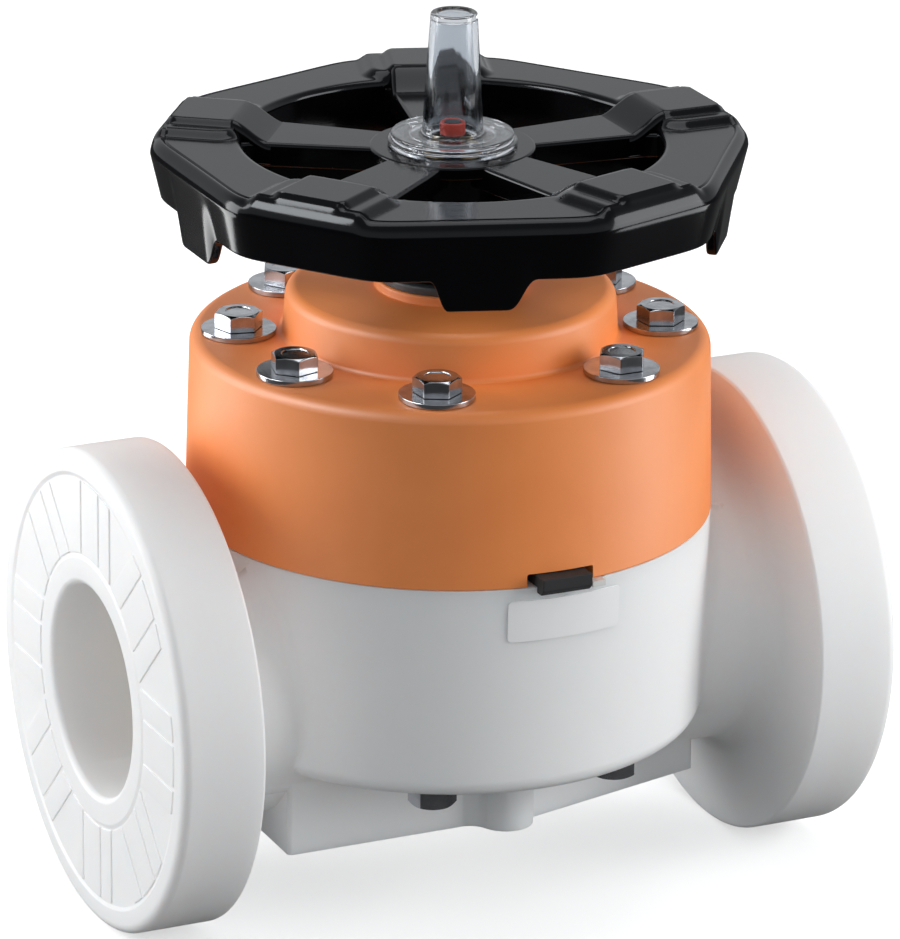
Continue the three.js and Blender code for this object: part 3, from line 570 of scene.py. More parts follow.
def turned_copies_tree() -> Tree:
    """Tree that repeats a piece evenly round an axis through the origin.

    Returns:
        The tree, with inputs Count, Axis and Finish.
    """
    inputs = {"Geometry": GEOMETRY, "Count": 5, "Axis": UP, "Finish": MATERIAL}
    tree, w, given, result = node_group(
        "TurnedCopies", "GeometryNodeTree", inputs, "Geometry", GEOMETRY
    )
    points = w.add("GeometryNodePoints", {"Count": given["Count"]}).outputs[0]
    index = w.add("GeometryNodeInputIndex").outputs[0]
    turn = w.times(index, w.over(FULL_TURN, given["Count"]))
    end_with_copies(w, given, points, given["Axis"], turn, result)
    return tree


def quadrant_copies_tree() -> Tree:
    """Tree that stands a piece at places mirrored into all four quadrants.

    Returns:
        The tree, with inputs Radius, First Angle, Second Angle, Count, Twist, Seed and Finish.
    """
    inputs = {
        "Geometry": GEOMETRY, "Radius": 0.1, "First Angle": 0.5, "Second Angle": 1.0, "Count": 8,
        "Twist": 0.0, "Seed": 0, "Finish": MATERIAL,
    }
    tree, w, given, result = node_group(
        "QuadrantCopies", "GeometryNodeTree", inputs, "Geometry", GEOMETRY
    )
    points = w.add("GeometryNodePoints", {"Count": given["Count"]})
    index = w.add("GeometryNodeInputIndex").outputs[0]
    # the sign of X changes with each copy, that of Y with each pair, the angle after four
    across = w.scaled(w.math("MODULO", index, 2.0), 2.0, -1.0)
    second = w.math("MODULO", w.math("FLOOR", w.over(index, 2.0)), 2.0)
    along = w.scaled(second, 2.0, -1.0)
    late = w.math("GREATER_THAN", index, 3.5)
    spread = w.minus(given["Second Angle"], given["First Angle"])
    angle = w.scaled(late, spread, given["First Angle"])
    far_x = w.times(given["Radius"], w.math("COSINE", angle))
    far_y = w.times(given["Radius"], w.math("SINE", angle))
    corner_of = {"X": w.times(across, far_x), "Y": w.times(along, far_y)}
    place = w.add("ShaderNodeCombineXYZ", corner_of).outputs[0]
    placed = w.add("GeometryNodeSetPosition", {"Geometry": points.outputs[0], "Position": place})
    chance = w.add("FunctionNodeRandomValue", {"Seed": given["Seed"]}, data_type="FLOAT")
    limits = {"Min": w.times(given["Twist"], -1.0), "Max": given["Twist"]}
    for socket in chance.inputs:
        if socket.name in limits and socket.type == "VALUE":
            w.feed(socket, limits[socket.name])
    random_turn = next(s for s in chance.outputs if s.type == "VALUE")
    end_with_copies(w, given, placed.outputs[0], UP, random_turn, result)
    return tree


def finish_tree(w: Wiring, shape: Socket, finish: Socket, result: Node) -> None:
    """Ends a geometry tree: copies made real, then their material set."""
    real = w.add("GeometryNodeRealizeInstances", {"Geometry": shape}).outputs[0]
    dressed = w.add("GeometryNodeSetMaterial", {"Geometry": real, "Material": finish})
    w.feed(result.inputs[0], dressed.outputs[0])


def lobed_rim_tree(spokes: int) -> Tree:
    """Tree that bends a plain round ring into the lobed, padded rim of the handwheel.

    The ring's points carry three shares: how far each follows the ten-sided outline, the
    drop of a lobe, and the rise of a pad.

    Args:
        spokes: number of spokes; the outline has twice as many sides.

    Returns:
        The tree, with the rim's sizes as inputs.
    """
    inputs = {"Geometry": GEOMETRY, **dict.fromkeys(RIM_SIZES, 0.0), "Finish": MATERIAL}
    tree, w, size, result = node_group(
        "LobedRim", "GeometryNodeTree", inputs, "Geometry", GEOMETRY
    )
    sector = FULL_TURN / spokes

    def share(name: str) -> Socket:
        """Value of one of the ring's point shares."""
        node = w.add("GeometryNodeInputNamedAttribute", {"Name": name}, data_type="FLOAT")
        return node.outputs[0]

    place = w.add("GeometryNodeInputPosition").outputs[0]
    x, y, z = w.add("ShaderNodeSeparateXYZ", {0: place}).outputs
    radius = w.length(x, y)
    plain_angle = w.math("ARCTAN2", y, x)
    # near a spoke the ring's lines are laid parallel to it, so that the pad's sides follow them
    plain_turn = w.math("WRAP", plain_angle, sector / 2, -sector / 2)
    near_pad = w.ramp(w.math("ABSOLUTE", plain_turn), 0.4 * sector, 0.2 * sector)
    pull = w.minus(w.over(size["Pad Middle"], radius), 1.0)
    angle = w.plus(plain_angle, w.times(w.times(plain_turn, pull), near_pad))
    # signed angle from the nearest spoke, and from the middle of the nearest lobe
    from_pad = w.math("WRAP", angle, sector / 2, -sector / 2)
    from_lobe = w.math("WRAP", w.minus(angle, sector / 2), sector / 2, -sector / 2)

    def facing(turn: Socket, distance: Socket) -> Socket:
        """Share of one side of the outline in the reach at a turn from its middle."""
        level = w.over(w.math("MAXIMUM", w.math("COSINE", turn), 0.0), distance)
        return w.math("POWER", w.times(level, size["Plain Reach"]), size["Sharpness"])

    sides = w.plus(facing(from_pad, size["Pad Face"]), facing(from_lobe, size["Lobe Face"]))
    for near, distance in ((from_pad, "Pad Face"), (from_lobe, "Lobe Face")):
        for way in (-sector, sector):
            sides = w.plus(sides, facing(w.plus(near, way), size[distance]))
    root = w.over(-1.0, size["Sharpness"])
    reach = w.times(size["Plain Reach"], w.math("POWER", sides, root))
    stretch = w.minus(reach, size["Plain Reach"])
    new_radius = w.scaled(stretch, share("reach_share"), radius)

    along = w.times(size["Lobe Face"], w.math("TANGENT", from_lobe))
    half_top = w.times(size["Lobe Top"], 0.5)
    half_tip = w.times(size["Lobe Tip"], 0.5)
    low_end = w.minus(w.times(half_tip, -1.0), size["Tip Shift"])
    high_end = w.minus(half_tip, size["Tip Shift"])
    low_flank = w.ramp(along, w.times(half_top, -1.0), low_end)
    high_flank = w.ramp(along, high_end, half_top, 1.0, 0.0)
    flank = w.math("MINIMUM", low_flank, high_flank)
    eased = w.times(w.times(flank, flank), w.scaled(flank, -2.0, 3.0))
    drop = w.times(size["Lobe Drop"], eased)

    out = w.times(new_radius, w.math("COSINE", from_pad))
    beside = w.math("ABSOLUTE", w.times(new_radius, w.math("SINE", from_pad)))

    def tier(name: str) -> Socket:
        """Mask of one level of the pad: a rounded rectangle with a soft slope round it."""
        inner, outer, half, turn, slope = (
            size[f"{name} {part}"] for part in ("Inner", "Outer", "Half", "Round", "Slope")
        )
        past = w.minus(out, w.minus(outer, turn))
        short = w.minus(w.plus(inner, turn), out)
        endwise = w.math("MAXIMUM", w.math("MAXIMUM", past, short), 0.0)
        sideways = w.math("MAXIMUM", w.minus(beside, w.minus(half, turn)), 0.0)
        return w.ramp(w.minus(w.length(endwise, sideways), turn), slope, 0.0)

    upper, lower = tier("Pad"), tier("Step")
    rise = w.times(lower, size["Step Lift"])
    rise = w.scaled(upper, w.minus(size["Pad Lift"], size["Step Lift"]), rise)

    height = w.minus(z, w.times(drop, share("drop_share")))
    height = w.scaled(rise, share("pad_share"), height)
    bent_x, bent_y = (w.times(new_radius, w.math(part, angle)) for part in ("COSINE", "SINE"))
    bent = w.add("ShaderNodeCombineXYZ", {"X": bent_x, "Y": bent_y, "Z": height}).outputs[0]
    ring = w.add("GeometryNodeSetPosition", {"Geometry": size["Geometry"], "Position": bent})
    finish_tree(w, ring.outputs[0], size["Finish"], result)
    return tree


# Shader groups


def grain_group() -> Tree:
    """Bump height of a moulded or machined skin: fine grain over a soft waviness.

    Returns:
        The group, with inputs Grain Size, Grain, Wave Size, Wave and the output Height.
    """
    inputs = {"Grain Size": 0.001, "Grain": 0.5, "Wave Size": 0.03, "Wave": 0.5}
    tree, w, given, result = node_group("Grain", "ShaderNodeTree", inputs, "Height", NUMBER)
    fine = w.times(w.minus(w.clouds(given["Grain Size"], 2.0), 0.5), given["Grain"])
    wave = w.times(w.minus(w.clouds(given["Wave Size"], 1.0), 0.5), given["Wave"])
    w.feed(result.inputs[0], w.plus(fine, wave))
    return tree


def mottle_group() -> Tree:
    """Soft clouds of a slightly different tone in a colour.

    Returns:
        The group, with inputs Colour, Other, Size, Amount and the output Colour.
    """
    inputs = {
        "Colour": (0.5, 0.5, 0.5, 1.0), "Other": (0.4, 0.4, 0.4, 1.0), "Size": 0.03, "Amount": 0.5,
    }
    tree, w, given, result = node_group("Mottle", "ShaderNodeTree", inputs, "Colour", COLOUR)
    mask = w.times(w.ramp(w.clouds(given["Size"], 4.0), 0.35, 0.7), given["Amount"])
    w.feed(result.inputs[0], w.mixed(mask, given["Colour"], given["Other"]))
    return tree


def smudge_group() -> Tree:
    """Roughness that wanders a little, as on a handled surface.

    Returns:
        The group, with inputs Roughness, Spread, Size and the output Roughness.
    """
    inputs = {"Roughness": 0.4, "Spread": 0.1, "Size": 0.02}
    tree, w, given, result = node_group("Smudge", "ShaderNodeTree", inputs, "Roughness", NUMBER)
    shift = w.times(w.minus(w.clouds(given["Size"], 5.0), 0.5), given["Spread"])
    w.feed(result.inputs[0], w.plus(given["Roughness"], shift))
    return tree


class ShaderGroups:
    """The shader groups, made once and shared by the finishes."""

    def __init__(self) -> None:
        """Makes the groups."""
        self.grain = grain_group()
        self.mottle = mottle_group()
        self.smudge = smudge_group()

    def use(self, w: Wiring, tree: Tree, inputs: dict) -> Socket:
        """Places a group in a material and gives its first output."""
        return w.add("ShaderNodeGroup", inputs, node_tree=tree).outputs[0]


def new_material(name: str) -> tuple[bpy.types.Material, Wiring, Node]:
    """New material, with the wiring of its tree and its shader."""
    material = bpy.data.materials.new(name)
    material.use_nodes = True
    tree = material.node_tree
    return material, Wiring(tree), tree.nodes["Principled BSDF"]


def rgba(colour: Colour) -> tuple[float, float, float, float]:
    """Opaque colour."""
    return (*colour, 1.0)


@dataclass(frozen=True)
class Finish:
    """A material: its colours, gloss, skin and the extra inputs of its shader."""

    name: str
    slot: str
    colour: Colour
    other: Colour
    roughness: float
    spread: float = 0.08
    metallic: float = 0.0
    mottle: float = 0.6
    mottle_size: float = 0.03
    grain_size: float = 0.0009
    grain: float = 0.5
    wave_size: float = 0.025
    wave: float = 0.4
    bump: float = 0.1
    bump_depth: float = 0.0002
    shader: dict = field(default_factory=dict)
    smudge_size: float = 0.02

    def build(self, groups: ShaderGroups) -> bpy.types.Material:
        """Makes the material.

        Args:
            groups: the shared shader groups.

        Returns:
            The material.
        """
        material, w, shader = new_material(self.name)
        self.colouring(w, groups, shader)
        rough = groups.use(w, groups.smudge, {
            "Roughness": self.roughness, "Spread": self.spread, "Size": self.smudge_size,
        })
        height = groups.use(w, groups.grain, {
            "Grain Size": self.grain_size, "Grain": self.grain,
            "Wave Size": self.wave_size, "Wave": self.wave,
        })
        skin = {"Strength": self.bump, "Distance": self.bump_depth, "Height": height}
        inputs = {
            "Roughness": rough, "Normal": w.add("ShaderNodeBump", skin).outputs[0],
            "Metallic": self.metallic, **self.shader,
        }
        for key, value in inputs.items():
            w.feed(shader.inputs[key], value)
        return material

    def colouring(self, w: Wiring, groups: ShaderGroups, shader: Node) -> None:
        """Feeds the base colour."""
        w.feed(shader.inputs["Base Color"], self.clouded(w, groups))

    def clouded(self, w: Wiring, groups: ShaderGroups) -> Socket:
        """Base colour with its soft clouds."""
        return groups.use(w, groups.mottle, {
            "Colour": rgba(self.colour), "Other": rgba(self.other),
            "Size": self.mottle_size, "Amount": self.mottle,
        })


@dataclass(frozen=True)
class TranslucentFinish(Finish):
    """White moulding whose deep bore has a painted glow, a warmer tone that is painted light."""

    painted_bore_glow: Colour = (0.8, 0.7, 0.6)
    bore_radius: float = 0.05
    bore_depth: float = 0.17
    bore_edge: float = 0.002
    bore_fade: float = 0.05

    def colouring(self, w: Wiring, groups: ShaderGroups, shader: Node) -> None:
        """Feeds a base colour with painted light: a painted glow of warmer tone inside the bore."""
        where = w.add("ShaderNodeTexCoord").outputs["Object"]
        x, y, z = w.add("ShaderNodeSeparateXYZ", {0: where}).outputs
        wall, deep = self.bore_radius, self.bore_depth
        inside = w.ramp(w.length(y, z), wall, wall + self.bore_edge, 1.0, 0.0)
        depth = w.ramp(w.math("ABSOLUTE", x), deep - self.bore_fade, deep, 1.0, 0.0)
        # painted light: a painted glow of warmer tone inside the bore, mixed into the base colour
        mask = w.times(inside, depth)
        base = w.mixed(mask, self.clouded(w, groups), rgba(self.painted_bore_glow))
        w.feed(shader.inputs["Base Color"], base)


class Palette:
    """Every finish of the valve, built once."""

    WHITE = TranslucentFinish(
        "WhitePlastic", "white_plastic", (0.925, 0.928, 0.932), (0.90, 0.904, 0.912), 0.40,
        # the bore's colour is painted light, a painted glow of warmer tone
        painted_bore_glow=(0.95, 0.91, 0.87), mottle_size=0.05, bump=0.12,
        shader={
            "Specular IOR Level": 0.16, "Subsurface Weight": 0.5,
            "Subsurface Radius": (0.014, 0.012, 0.011), "Subsurface Scale": 1.0,
        },
    )
    ORANGE = Finish(
        "OrangePlastic", "orange_plastic", (0.97, 0.285, 0.056), (0.93, 0.26, 0.048), 0.52,
        grain_size=0.0007, grain=0.8, bump=0.25, shader={"Specular IOR Level": 0.9},
    )
    BLACK = Finish(
        "BlackPlastic", "black_plastic", (0.0015, 0.0015, 0.002), (0.002, 0.002, 0.003), 0.13,
        spread=0.05, wave_size=0.012, wave=0.5, bump=0.08,
        shader={"Specular IOR Level": 0.24, "Specular Tint": (0.92, 0.96, 1.0, 1.0)},
    )
    GREY = Finish(
        "GreyPlastic", "grey_plastic", (0.06, 0.065, 0.07), (0.05, 0.052, 0.055), 0.45,
    )
    RED = Finish(
        "RedPlastic", "red_plastic", (0.85, 0.11, 0.07), (0.75, 0.09, 0.055), 0.4,
    )
    CLEAR = Finish(
        "ClearPlastic", "clear_plastic", (0.62, 0.65, 0.69), (0.60, 0.63, 0.67), 0.05,
        spread=0.04, bump=0.05,
        shader={"Transmission Weight": 1.0, "IOR": 1.49},
    )
    RUBBER = Finish(
        "BlackRubber", "black_rubber", (0.016, 0.016, 0.018), (0.024, 0.024, 0.026), 0.72,
        grain_size=0.0012, grain=0.8, bump=0.4,
    )
    FACING = Finish(
        "WhiteFacing", "white_facing", (0.78, 0.78, 0.76), (0.72, 0.72, 0.70), 0.5,
    )
    STEEL = Finish(
        "BoltSteel", "bolt_steel", (0.50, 0.51, 0.54), (0.30, 0.31, 0.33), 0.16,
        spread=0.18, metallic=1.0, mottle=0.8, mottle_size=0.008, grain_size=0.0006, bump=0.3,
    )
    SPINDLE = Finish(
        "SpindleSteel", "spindle_steel", (0.60, 0.60, 0.61), (0.50, 0.50, 0.51), 0.28,
        spread=0.15, metallic=1.0, grain_size=0.0004, bump=0.2,
    )
    BRASS = Finish(
        "Brass", "brass", (0.70, 0.48, 0.20), (0.55, 0.36, 0.15), 0.34,
        spread=0.18, metallic=1.0, mottle_size=0.01, grain_size=0.0005, bump=0.2,
    )
    PLATE = Finish(
        "PlateFilm", "white_plastic", (0.96, 0.96, 0.965), (0.93, 0.93, 0.94), 0.30,
        mottle_size=0.02, grain=0.2, bump=0.05,
    )

    def __init__(self) -> None:
        """Builds the groups and all materials."""
        groups = ShaderGroups()
        finishes = [value for value in vars(Palette).values() if isinstance(value, Finish)]
        self.made = {finish.name: finish.build(groups) for finish in finishes}

    def material(self, finish: Finish) -> bpy.types.Material:
        """Material of a finish."""
        return self.made[finish.name]

    def dress(self, made: Object, finish: Finish) -> Object:
        """Gives a piece one material."""
        made.data.materials.clear()
        made.data.materials.append(self.material(finish))
        return made


@dataclass
class Workshop:
    """What every sub-assembly builds with: the palette and the geometry trees."""

    palette: Palette
    turned: Tree = field(default_factory=turned_copies_tree)
    quadrants: Tree = field(default_factory=quadrant_copies_tree)

    def ring_of(self, made: Object, count: int, axis: Point3, finish: Finish) -> Object:
        """Repeats a piece evenly round an axis through the origin."""
        material = self.palette.material(finish)
        return run_tree(made, self.turned, {"Count": count, "Axis": axis, "Finish": material})

    def place(self, made: Object, finish: Finish, body: Body, nodes: Sequence[str] = ()) -> Object:
        """Dresses a finished piece, hides the nodes it stands for and lets it ride.

        Args:
            made: the piece, in place.
            finish: its finish.
            body: the body it moves with.
            nodes: CAD nodes that it replaces.

        Returns:
            The piece.
        """
        self.palette.dress(made, finish)
        if nodes:
            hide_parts(*nodes)
        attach(made, body.value)
        faces = len(made.data.polygons)
        log.info("%s: %d faces, %s, rides on %s", made.name, faces, finish.slot, body.value)
        return made


def nodes_named(*starts: str) -> list[str]:
    """CAD nodes whose names begin with one of the given words."""
    return sorted(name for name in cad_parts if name.startswith(starts))


# Sub-assemblies


@dataclass
class ValveBody:
    """White moulded body: two flanges on a bored neck, the bowl, the weir and the foot."""

    face_x: float = 0.175
    back_x: float = 0.136
    flange_radius: float = 0.110
    front_round: float = 0.0045
    back_round: float = 0.0015
    bore_radius: float = 0.0485
    mouth_round: float = 0.003
    neck_radius: float = 0.065
    neck_fillet: float = 0.011
    bowl_blend: float = 0.011
    blend_end: float = 0.0012
    blend_fade: float = 0.45
    face_hub: float = 0.0605
    face_rim: float = 0.0995
    face_recess: float = 0.0008
    face_slope: float = 0.0018
    parting: float = 0.0675
    bowl_radius: float = 0.1195
    bowl_low_radius: float = 0.117
    bowl_floor: float = -0.0325
    bowl_round: float = 0.009
    foot_floor: float = -0.0714
    foot_half: float = 0.053
    foot_taper_half: float = 0.059
    foot_narrow_half: float = 0.0315
    foot_near: float = -0.101
    foot_boss_x: float = 0.0055
    foot_far: float = 0.112
    boss_radius: float = 0.013
    boss_y: float = 0.054
    boss_fillet: float = 0.010
    insert_radius: float = 0.0075
    insert_depth: float = 0.020
    pocket_radius: float = 0.0092
    pocket_depth: float = 0.0162
    slot_middle: float = 0.0175
    slot_half: float = 0.00345
    slot_near: float = 0.0725
    slot_far: float = 0.1215
    weir_foot: float = 0.031
    weir_crest: float = 0.008
    weir_top: float = 0.0195
    seat_flat: float = 0.013
    seat_radius: float = 0.066
    clamp_radius: float = 0.079
    facing_floor: float = 0.0648
    bar_centre: float = 0.0190
    bar_side: float = 0.0115
    bar_gap: float = 0.0020
    bar_rise: float = 0.0007
    bar_groups: int = 8
    segments: int = 160
    recess_edge: float = 0.0012
    recess_root: float = 0.0010
    bowl_edge: float = 0.0006
    foot_round: float = 0.002
    boss_inside: float = 0.004
    blend_tries: int = 40
    blend_sink: float = 0.0015
    blend_top_gap: float = 0.001
    blend_low_gap: float = 0.004
    blend_steps: int = 26
    seat_clear: float = 0.0003
    weir_round: float = 0.006
    bar_room: float = 0.0006
    bar_root: float = 0.0008
    bar_ease: float = 0.0004
    bar_steps: int = 8

    def build(self, shop: Workshop, bolts: "BoltCircle") -> None:
        """Makes the body with the relief of both flange faces."""
        body = self.moulding(bolts)
        shape_with(body, [self.relief(shop, side) for side in (-1, 1)], Cut.JOIN)
        shop.place(softened(body, crease=32.0), Palette.WHITE, Body.HOUSING, ["body"])

    def moulding(self, bolts: "BoltCircle") -> Object:
        """The one-piece moulding with all its openings."""
        outside = shape_with(self.pipe(), [self.bowl(), self.foot()], Cut.JOIN)
        shape_with(outside, self.boss_posts(), Cut.JOIN)
        shape_with(outside, self.blends(), Cut.JOIN)
        shape_with(outside, [self.passage(), self.chamber()], Cut.REMOVE)
        shape_with(outside, self.pockets(bolts), Cut.REMOVE)
        return outside

    def pipe(self) -> Object:
        """Both flanges and the neck between them, turned along the pipe."""
        face, back, outer = self.face_x, self.back_x, self.flange_radius
        hub, rim, slope = self.face_hub, self.face_rim, self.face_slope
        sunk = face - self.face_recess
        half = [
            (0.0, face),
            (hub, face, self.recess_edge),
            (hub + slope, sunk, self.recess_root),
            (rim - slope, sunk, self.recess_root),
            (rim, face, self.recess_edge),
            (outer, face, self.front_round),
            (outer, back, self.back_round),
            (self.neck_radius, back, self.neck_fillet),
        ]
        mirrored = [(u, -v, *ease) for u, v, *ease in reversed(half)]
        return revolve("ValveBody", rounded(half + mirrored, 10), self.segments, Axis.X)

    def bowl(self) -> Object:
        """Round bowl that stands between the necks."""
        outline = rounded([
            (0.0, self.parting),
            (self.bowl_radius, self.parting, self.bowl_edge),
            (self.bowl_low_radius, self.bowl_floor, self.bowl_round),
            (0.0, self.bowl_floor),
        ], 10)
        return revolve("bowl", outline, self.segments)

    def foot(self) -> Object:
        """Foot plate under the pipe, tapered beyond its bosses."""
        wide, taper, narrow = self.foot_half, self.foot_taper_half, self.foot_narrow_half
        side = [
            (self.foot_near, wide, self.foot_round),
            (self.foot_boss_x, wide),
            (self.foot_boss_x, taper),
            (self.foot_far, narrow, self.foot_round),
        ]
        other = [(u, -v, *ease) for u, v, *ease in reversed(side)]
        return prism("foot", rounded(side + other, 6), self.foot_floor, self.bowl_floor + LAP)

    def boss_posts(self) -> list[Object]:
        """Round bosses on both sides of the foot."""
        made = []
        for sign in (-1, 1):
            post = rod("boss", self.boss_radius, self.foot_floor, self.bowl_floor + LAP, 48)
            made.append(stood(post, (self.foot_boss_x, sign * self.boss_y)))
            made.append(self.boss_blend(sign))
        return made

    def boss_blend(self, sign: int) -> Object:
        """Hollow fillet from the foot's side to the near side of one boss.

        Args:
            sign: -1 for the boss in front, 1 for the one behind.

        Returns:
            The fillet, with a corner inside the boss.
        """
        size, wall, x = self.boss_fillet, self.foot_half, self.foot_boss_x
        rise = self.boss_y - wall
        run = math.sqrt((self.boss_radius + size) ** 2 - (size - rise) ** 2)
        end = math.atan2(rise - size, run)
        outline = [(x, wall - self.boss_inside), (x - run, wall - self.boss_inside)]
        outline += arc((x - run, wall + size), size, -math.pi / 2, end, 12)
        outline.append((x, self.boss_y))
        mirrored = [(u, sign * v) for u, v in outline]
        return prism("blend", mirrored[::-sign], self.foot_floor, self.bowl_floor + LAP)

    def wall_radius(self, height: float) -> float:
        """Radius of the bowl's drafted wall at a height."""
        share = (self.parting - height) / (self.parting - self.bowl_floor)
        return self.bowl_radius + (self.bowl_low_radius - self.bowl_radius) * share

    def blend_section(self, turn: float, size: float) -> list[Point2]:
        """Fillet between neck and bowl in the half plane at an angle round the pipe.

        Args:
            turn: angle round the pipe from the top.
            size: the fillet's radius there.

        Returns:
            Outline of (radius from the pipe's axis, place along the pipe).
        """
        neck, sine, cosine = self.neck_radius, abs(math.sin(turn)), math.cos(turn)
        deep = self.blend_sink

        def wall(radius: float) -> float:
            """Place along the pipe of the bowl's wall at a radius from the pipe's axis."""
            reach = self.wall_radius(radius * cosine)
            return math.sqrt(max(reach * reach - (radius * sine) ** 2, 0.0))

        # the arc's middle lies one radius off both the neck and the bowl's wall
        middle_radius = neck + size
        middle_x = wall(neck) + size

        def away(radius: float) -> float:
            """Distance from the arc's middle to the bowl's wall at a radius."""
            return math.hypot(middle_x - wall(radius), middle_radius - radius)

        coarse, fine = 24, 96
        for _ in range(self.blend_tries):
            middle_x += size - min(away(neck + 2 * size * k / coarse) for k in range(coarse + 1))
        contact = min((neck + 2 * size * k / fine for k in range(fine + 1)), key=away)
        start = math.atan2(contact - middle_radius, wall(contact) - middle_x)
        if start > 0:
            start -= FULL_TURN
        curve = arc((middle_x, middle_radius), size, start, -math.pi / 2, 8)
        return [(radius, along) for along, radius in curve] + [
            (neck - deep, middle_x), (neck - deep, wall(neck) - 2 * deep),
            (contact, wall(contact) - 2 * deep),
        ]

    def blends(self) -> list[Object]:
        """Soft blends from the bowl into both necks, in front and behind."""
        highest = (self.parting - self.blend_top_gap) / (self.neck_radius + self.bowl_blend)
        top = math.acos(min(highest, 1.0))
        low = math.acos((self.bowl_floor + self.blend_low_gap) / self.neck_radius)
        made = []
        for x_side in (-1, 1):
            for y_side in (-1, 1):
                sections = []
                for i in range(self.blend_steps + 1):
                    share = i / self.blend_steps
                    turn = top + (low - top) * share
                    fading = min(1.0, (1.0 - share) / self.blend_fade)
                    size = self.blend_end + (self.bowl_blend - self.blend_end) * fading
                    sections.append([
                        (x_side * along, y_side * radius * math.sin(turn), radius * math.cos(turn))
                        for radius, along in self.blend_section(turn, size)
                    ])
                made.append(loft("blend", sections))
        return made

    def passage(self) -> Object:
        """Bore from both faces up to the weir."""
        reach, ease = self.face_x + OVERRUN, self.mouth_round
        mouth = self.bore_radius + ease
        half = [(0.0, reach), (mouth, reach)]
        half += arc((mouth, self.face_x - ease), ease, math.pi / 2, math.pi, 8)
        bore = revolve("passage", half + [(u, -v) for u, v in reversed(half)], 128, Axis.X)
        deep, crest, top = self.bore_radius + OVERRUN, self.weir_crest, self.weir_top
        outline = [
            (-self.weir_foot, -deep), (self.weir_foot, -deep), (crest, top), (crest, deep),
            (-crest, deep), (-crest, top),
        ]
        weir = loft("weir", [[(x, y, z) for x, z in outline] for y in (-deep, deep)])
        softened(weir, self.weir_round, 6, 8.0)
        return shape_with(bore, [weir], Cut.REMOVE)

    def chamber(self) -> Object:
        """Space over the weir in which the diaphragm moves."""
        line = Diaphragm.seat_line(
            self.seat_flat, self.seat_radius, self.weir_top + self.seat_clear, self.facing_floor
        )
        curve = [(radius, height - self.seat_clear) for radius, height in line]
        room, low = self.clamp_radius + SEAT_GAP, self.facing_floor - SEAT_GAP
        top = self.parting + OVERRUN
        outline = [(0.0, curve[0][1])] + curve + [
            (self.seat_radius, low), (room, low), (room, top), (0.0, top),
        ]
        return revolve("chamber", outline, 128)

    def pockets(self, bolts: "BoltCircle") -> list[Object]:
        """Holes for the bolts and the inserts."""
        top, room = self.parting + OVERRUN, self.insert_radius + SEAT_GAP
        floor = self.parting - self.pocket_depth
        roof = self.foot_floor + self.insert_depth + SEAT_GAP
        holes = [
            (place, bolts.hole_radius, self.bowl_floor - OVERRUN, top)
            for place in bolts.side_places()
        ]
        holes += [(place, self.pocket_radius, floor, top) for place in bolts.axis_places()]
        holes += [
            ((self.foot_boss_x, sign * self.boss_y), room, self.foot_floor - OVERRUN, roof)
            for sign in (-1, 1)
        ]
        made = [stood(rod("hole", radius, low, high), place) for place, radius, low, high in holes]
        left, right = self.slot_middle - self.slot_half, self.slot_middle + self.slot_half
        low, far, near = self.facing_floor - SEAT_GAP, -self.slot_far, -self.slot_near
        return made + [block("slot", (left, far, low), (right, near, top))]

    def relief(self, shop: Workshop, side: int) -> Object:
        """Raised bars in the recess of one flange face, in groups pointing at the bore.

        Args:
            shop: trees and palette.
            side: -1 for the inlet's face, 1 for the outlet's.

        Returns:
            The relief of one face.
        """
        inner = self.face_hub + self.face_slope + self.bar_room
        outer = self.face_rim - self.face_slope - self.bar_room
        sunk = self.face_x - self.face_recess
        near, steps = self.bar_centre / 2 + self.bar_gap, self.bar_steps
        bars = []
        for low, high in (
            (-self.bar_centre / 2, self.bar_centre / 2),
            (near, near + self.bar_side),
            (-near - self.bar_side, -near),
        ):
            across = [low + (high - low) * i / steps for i in range(steps + 1)]
            outline = [(y, math.sqrt(outer * outer - y * y)) for y in across]
            outline += [(y, math.sqrt(inner * inner - y * y)) for y in reversed(across)]
            bar = prism("bar", outline, sunk - self.bar_root, sunk + self.bar_rise)
            bars.append(softened(bar, self.bar_ease, 2, 40.0))
        # from the flat (across, out, height) to the flange face
        turn = Matrix(((0, 0, side, 0), (1, 0, 0, 0), (0, 1, 0, 0), (0, 0, 0, 1)))
        group = moved(merged("relief", bars), turn)
        return shop.ring_of(group, self.bar_groups, (1.0, 0.0, 0.0), Palette.WHITE)


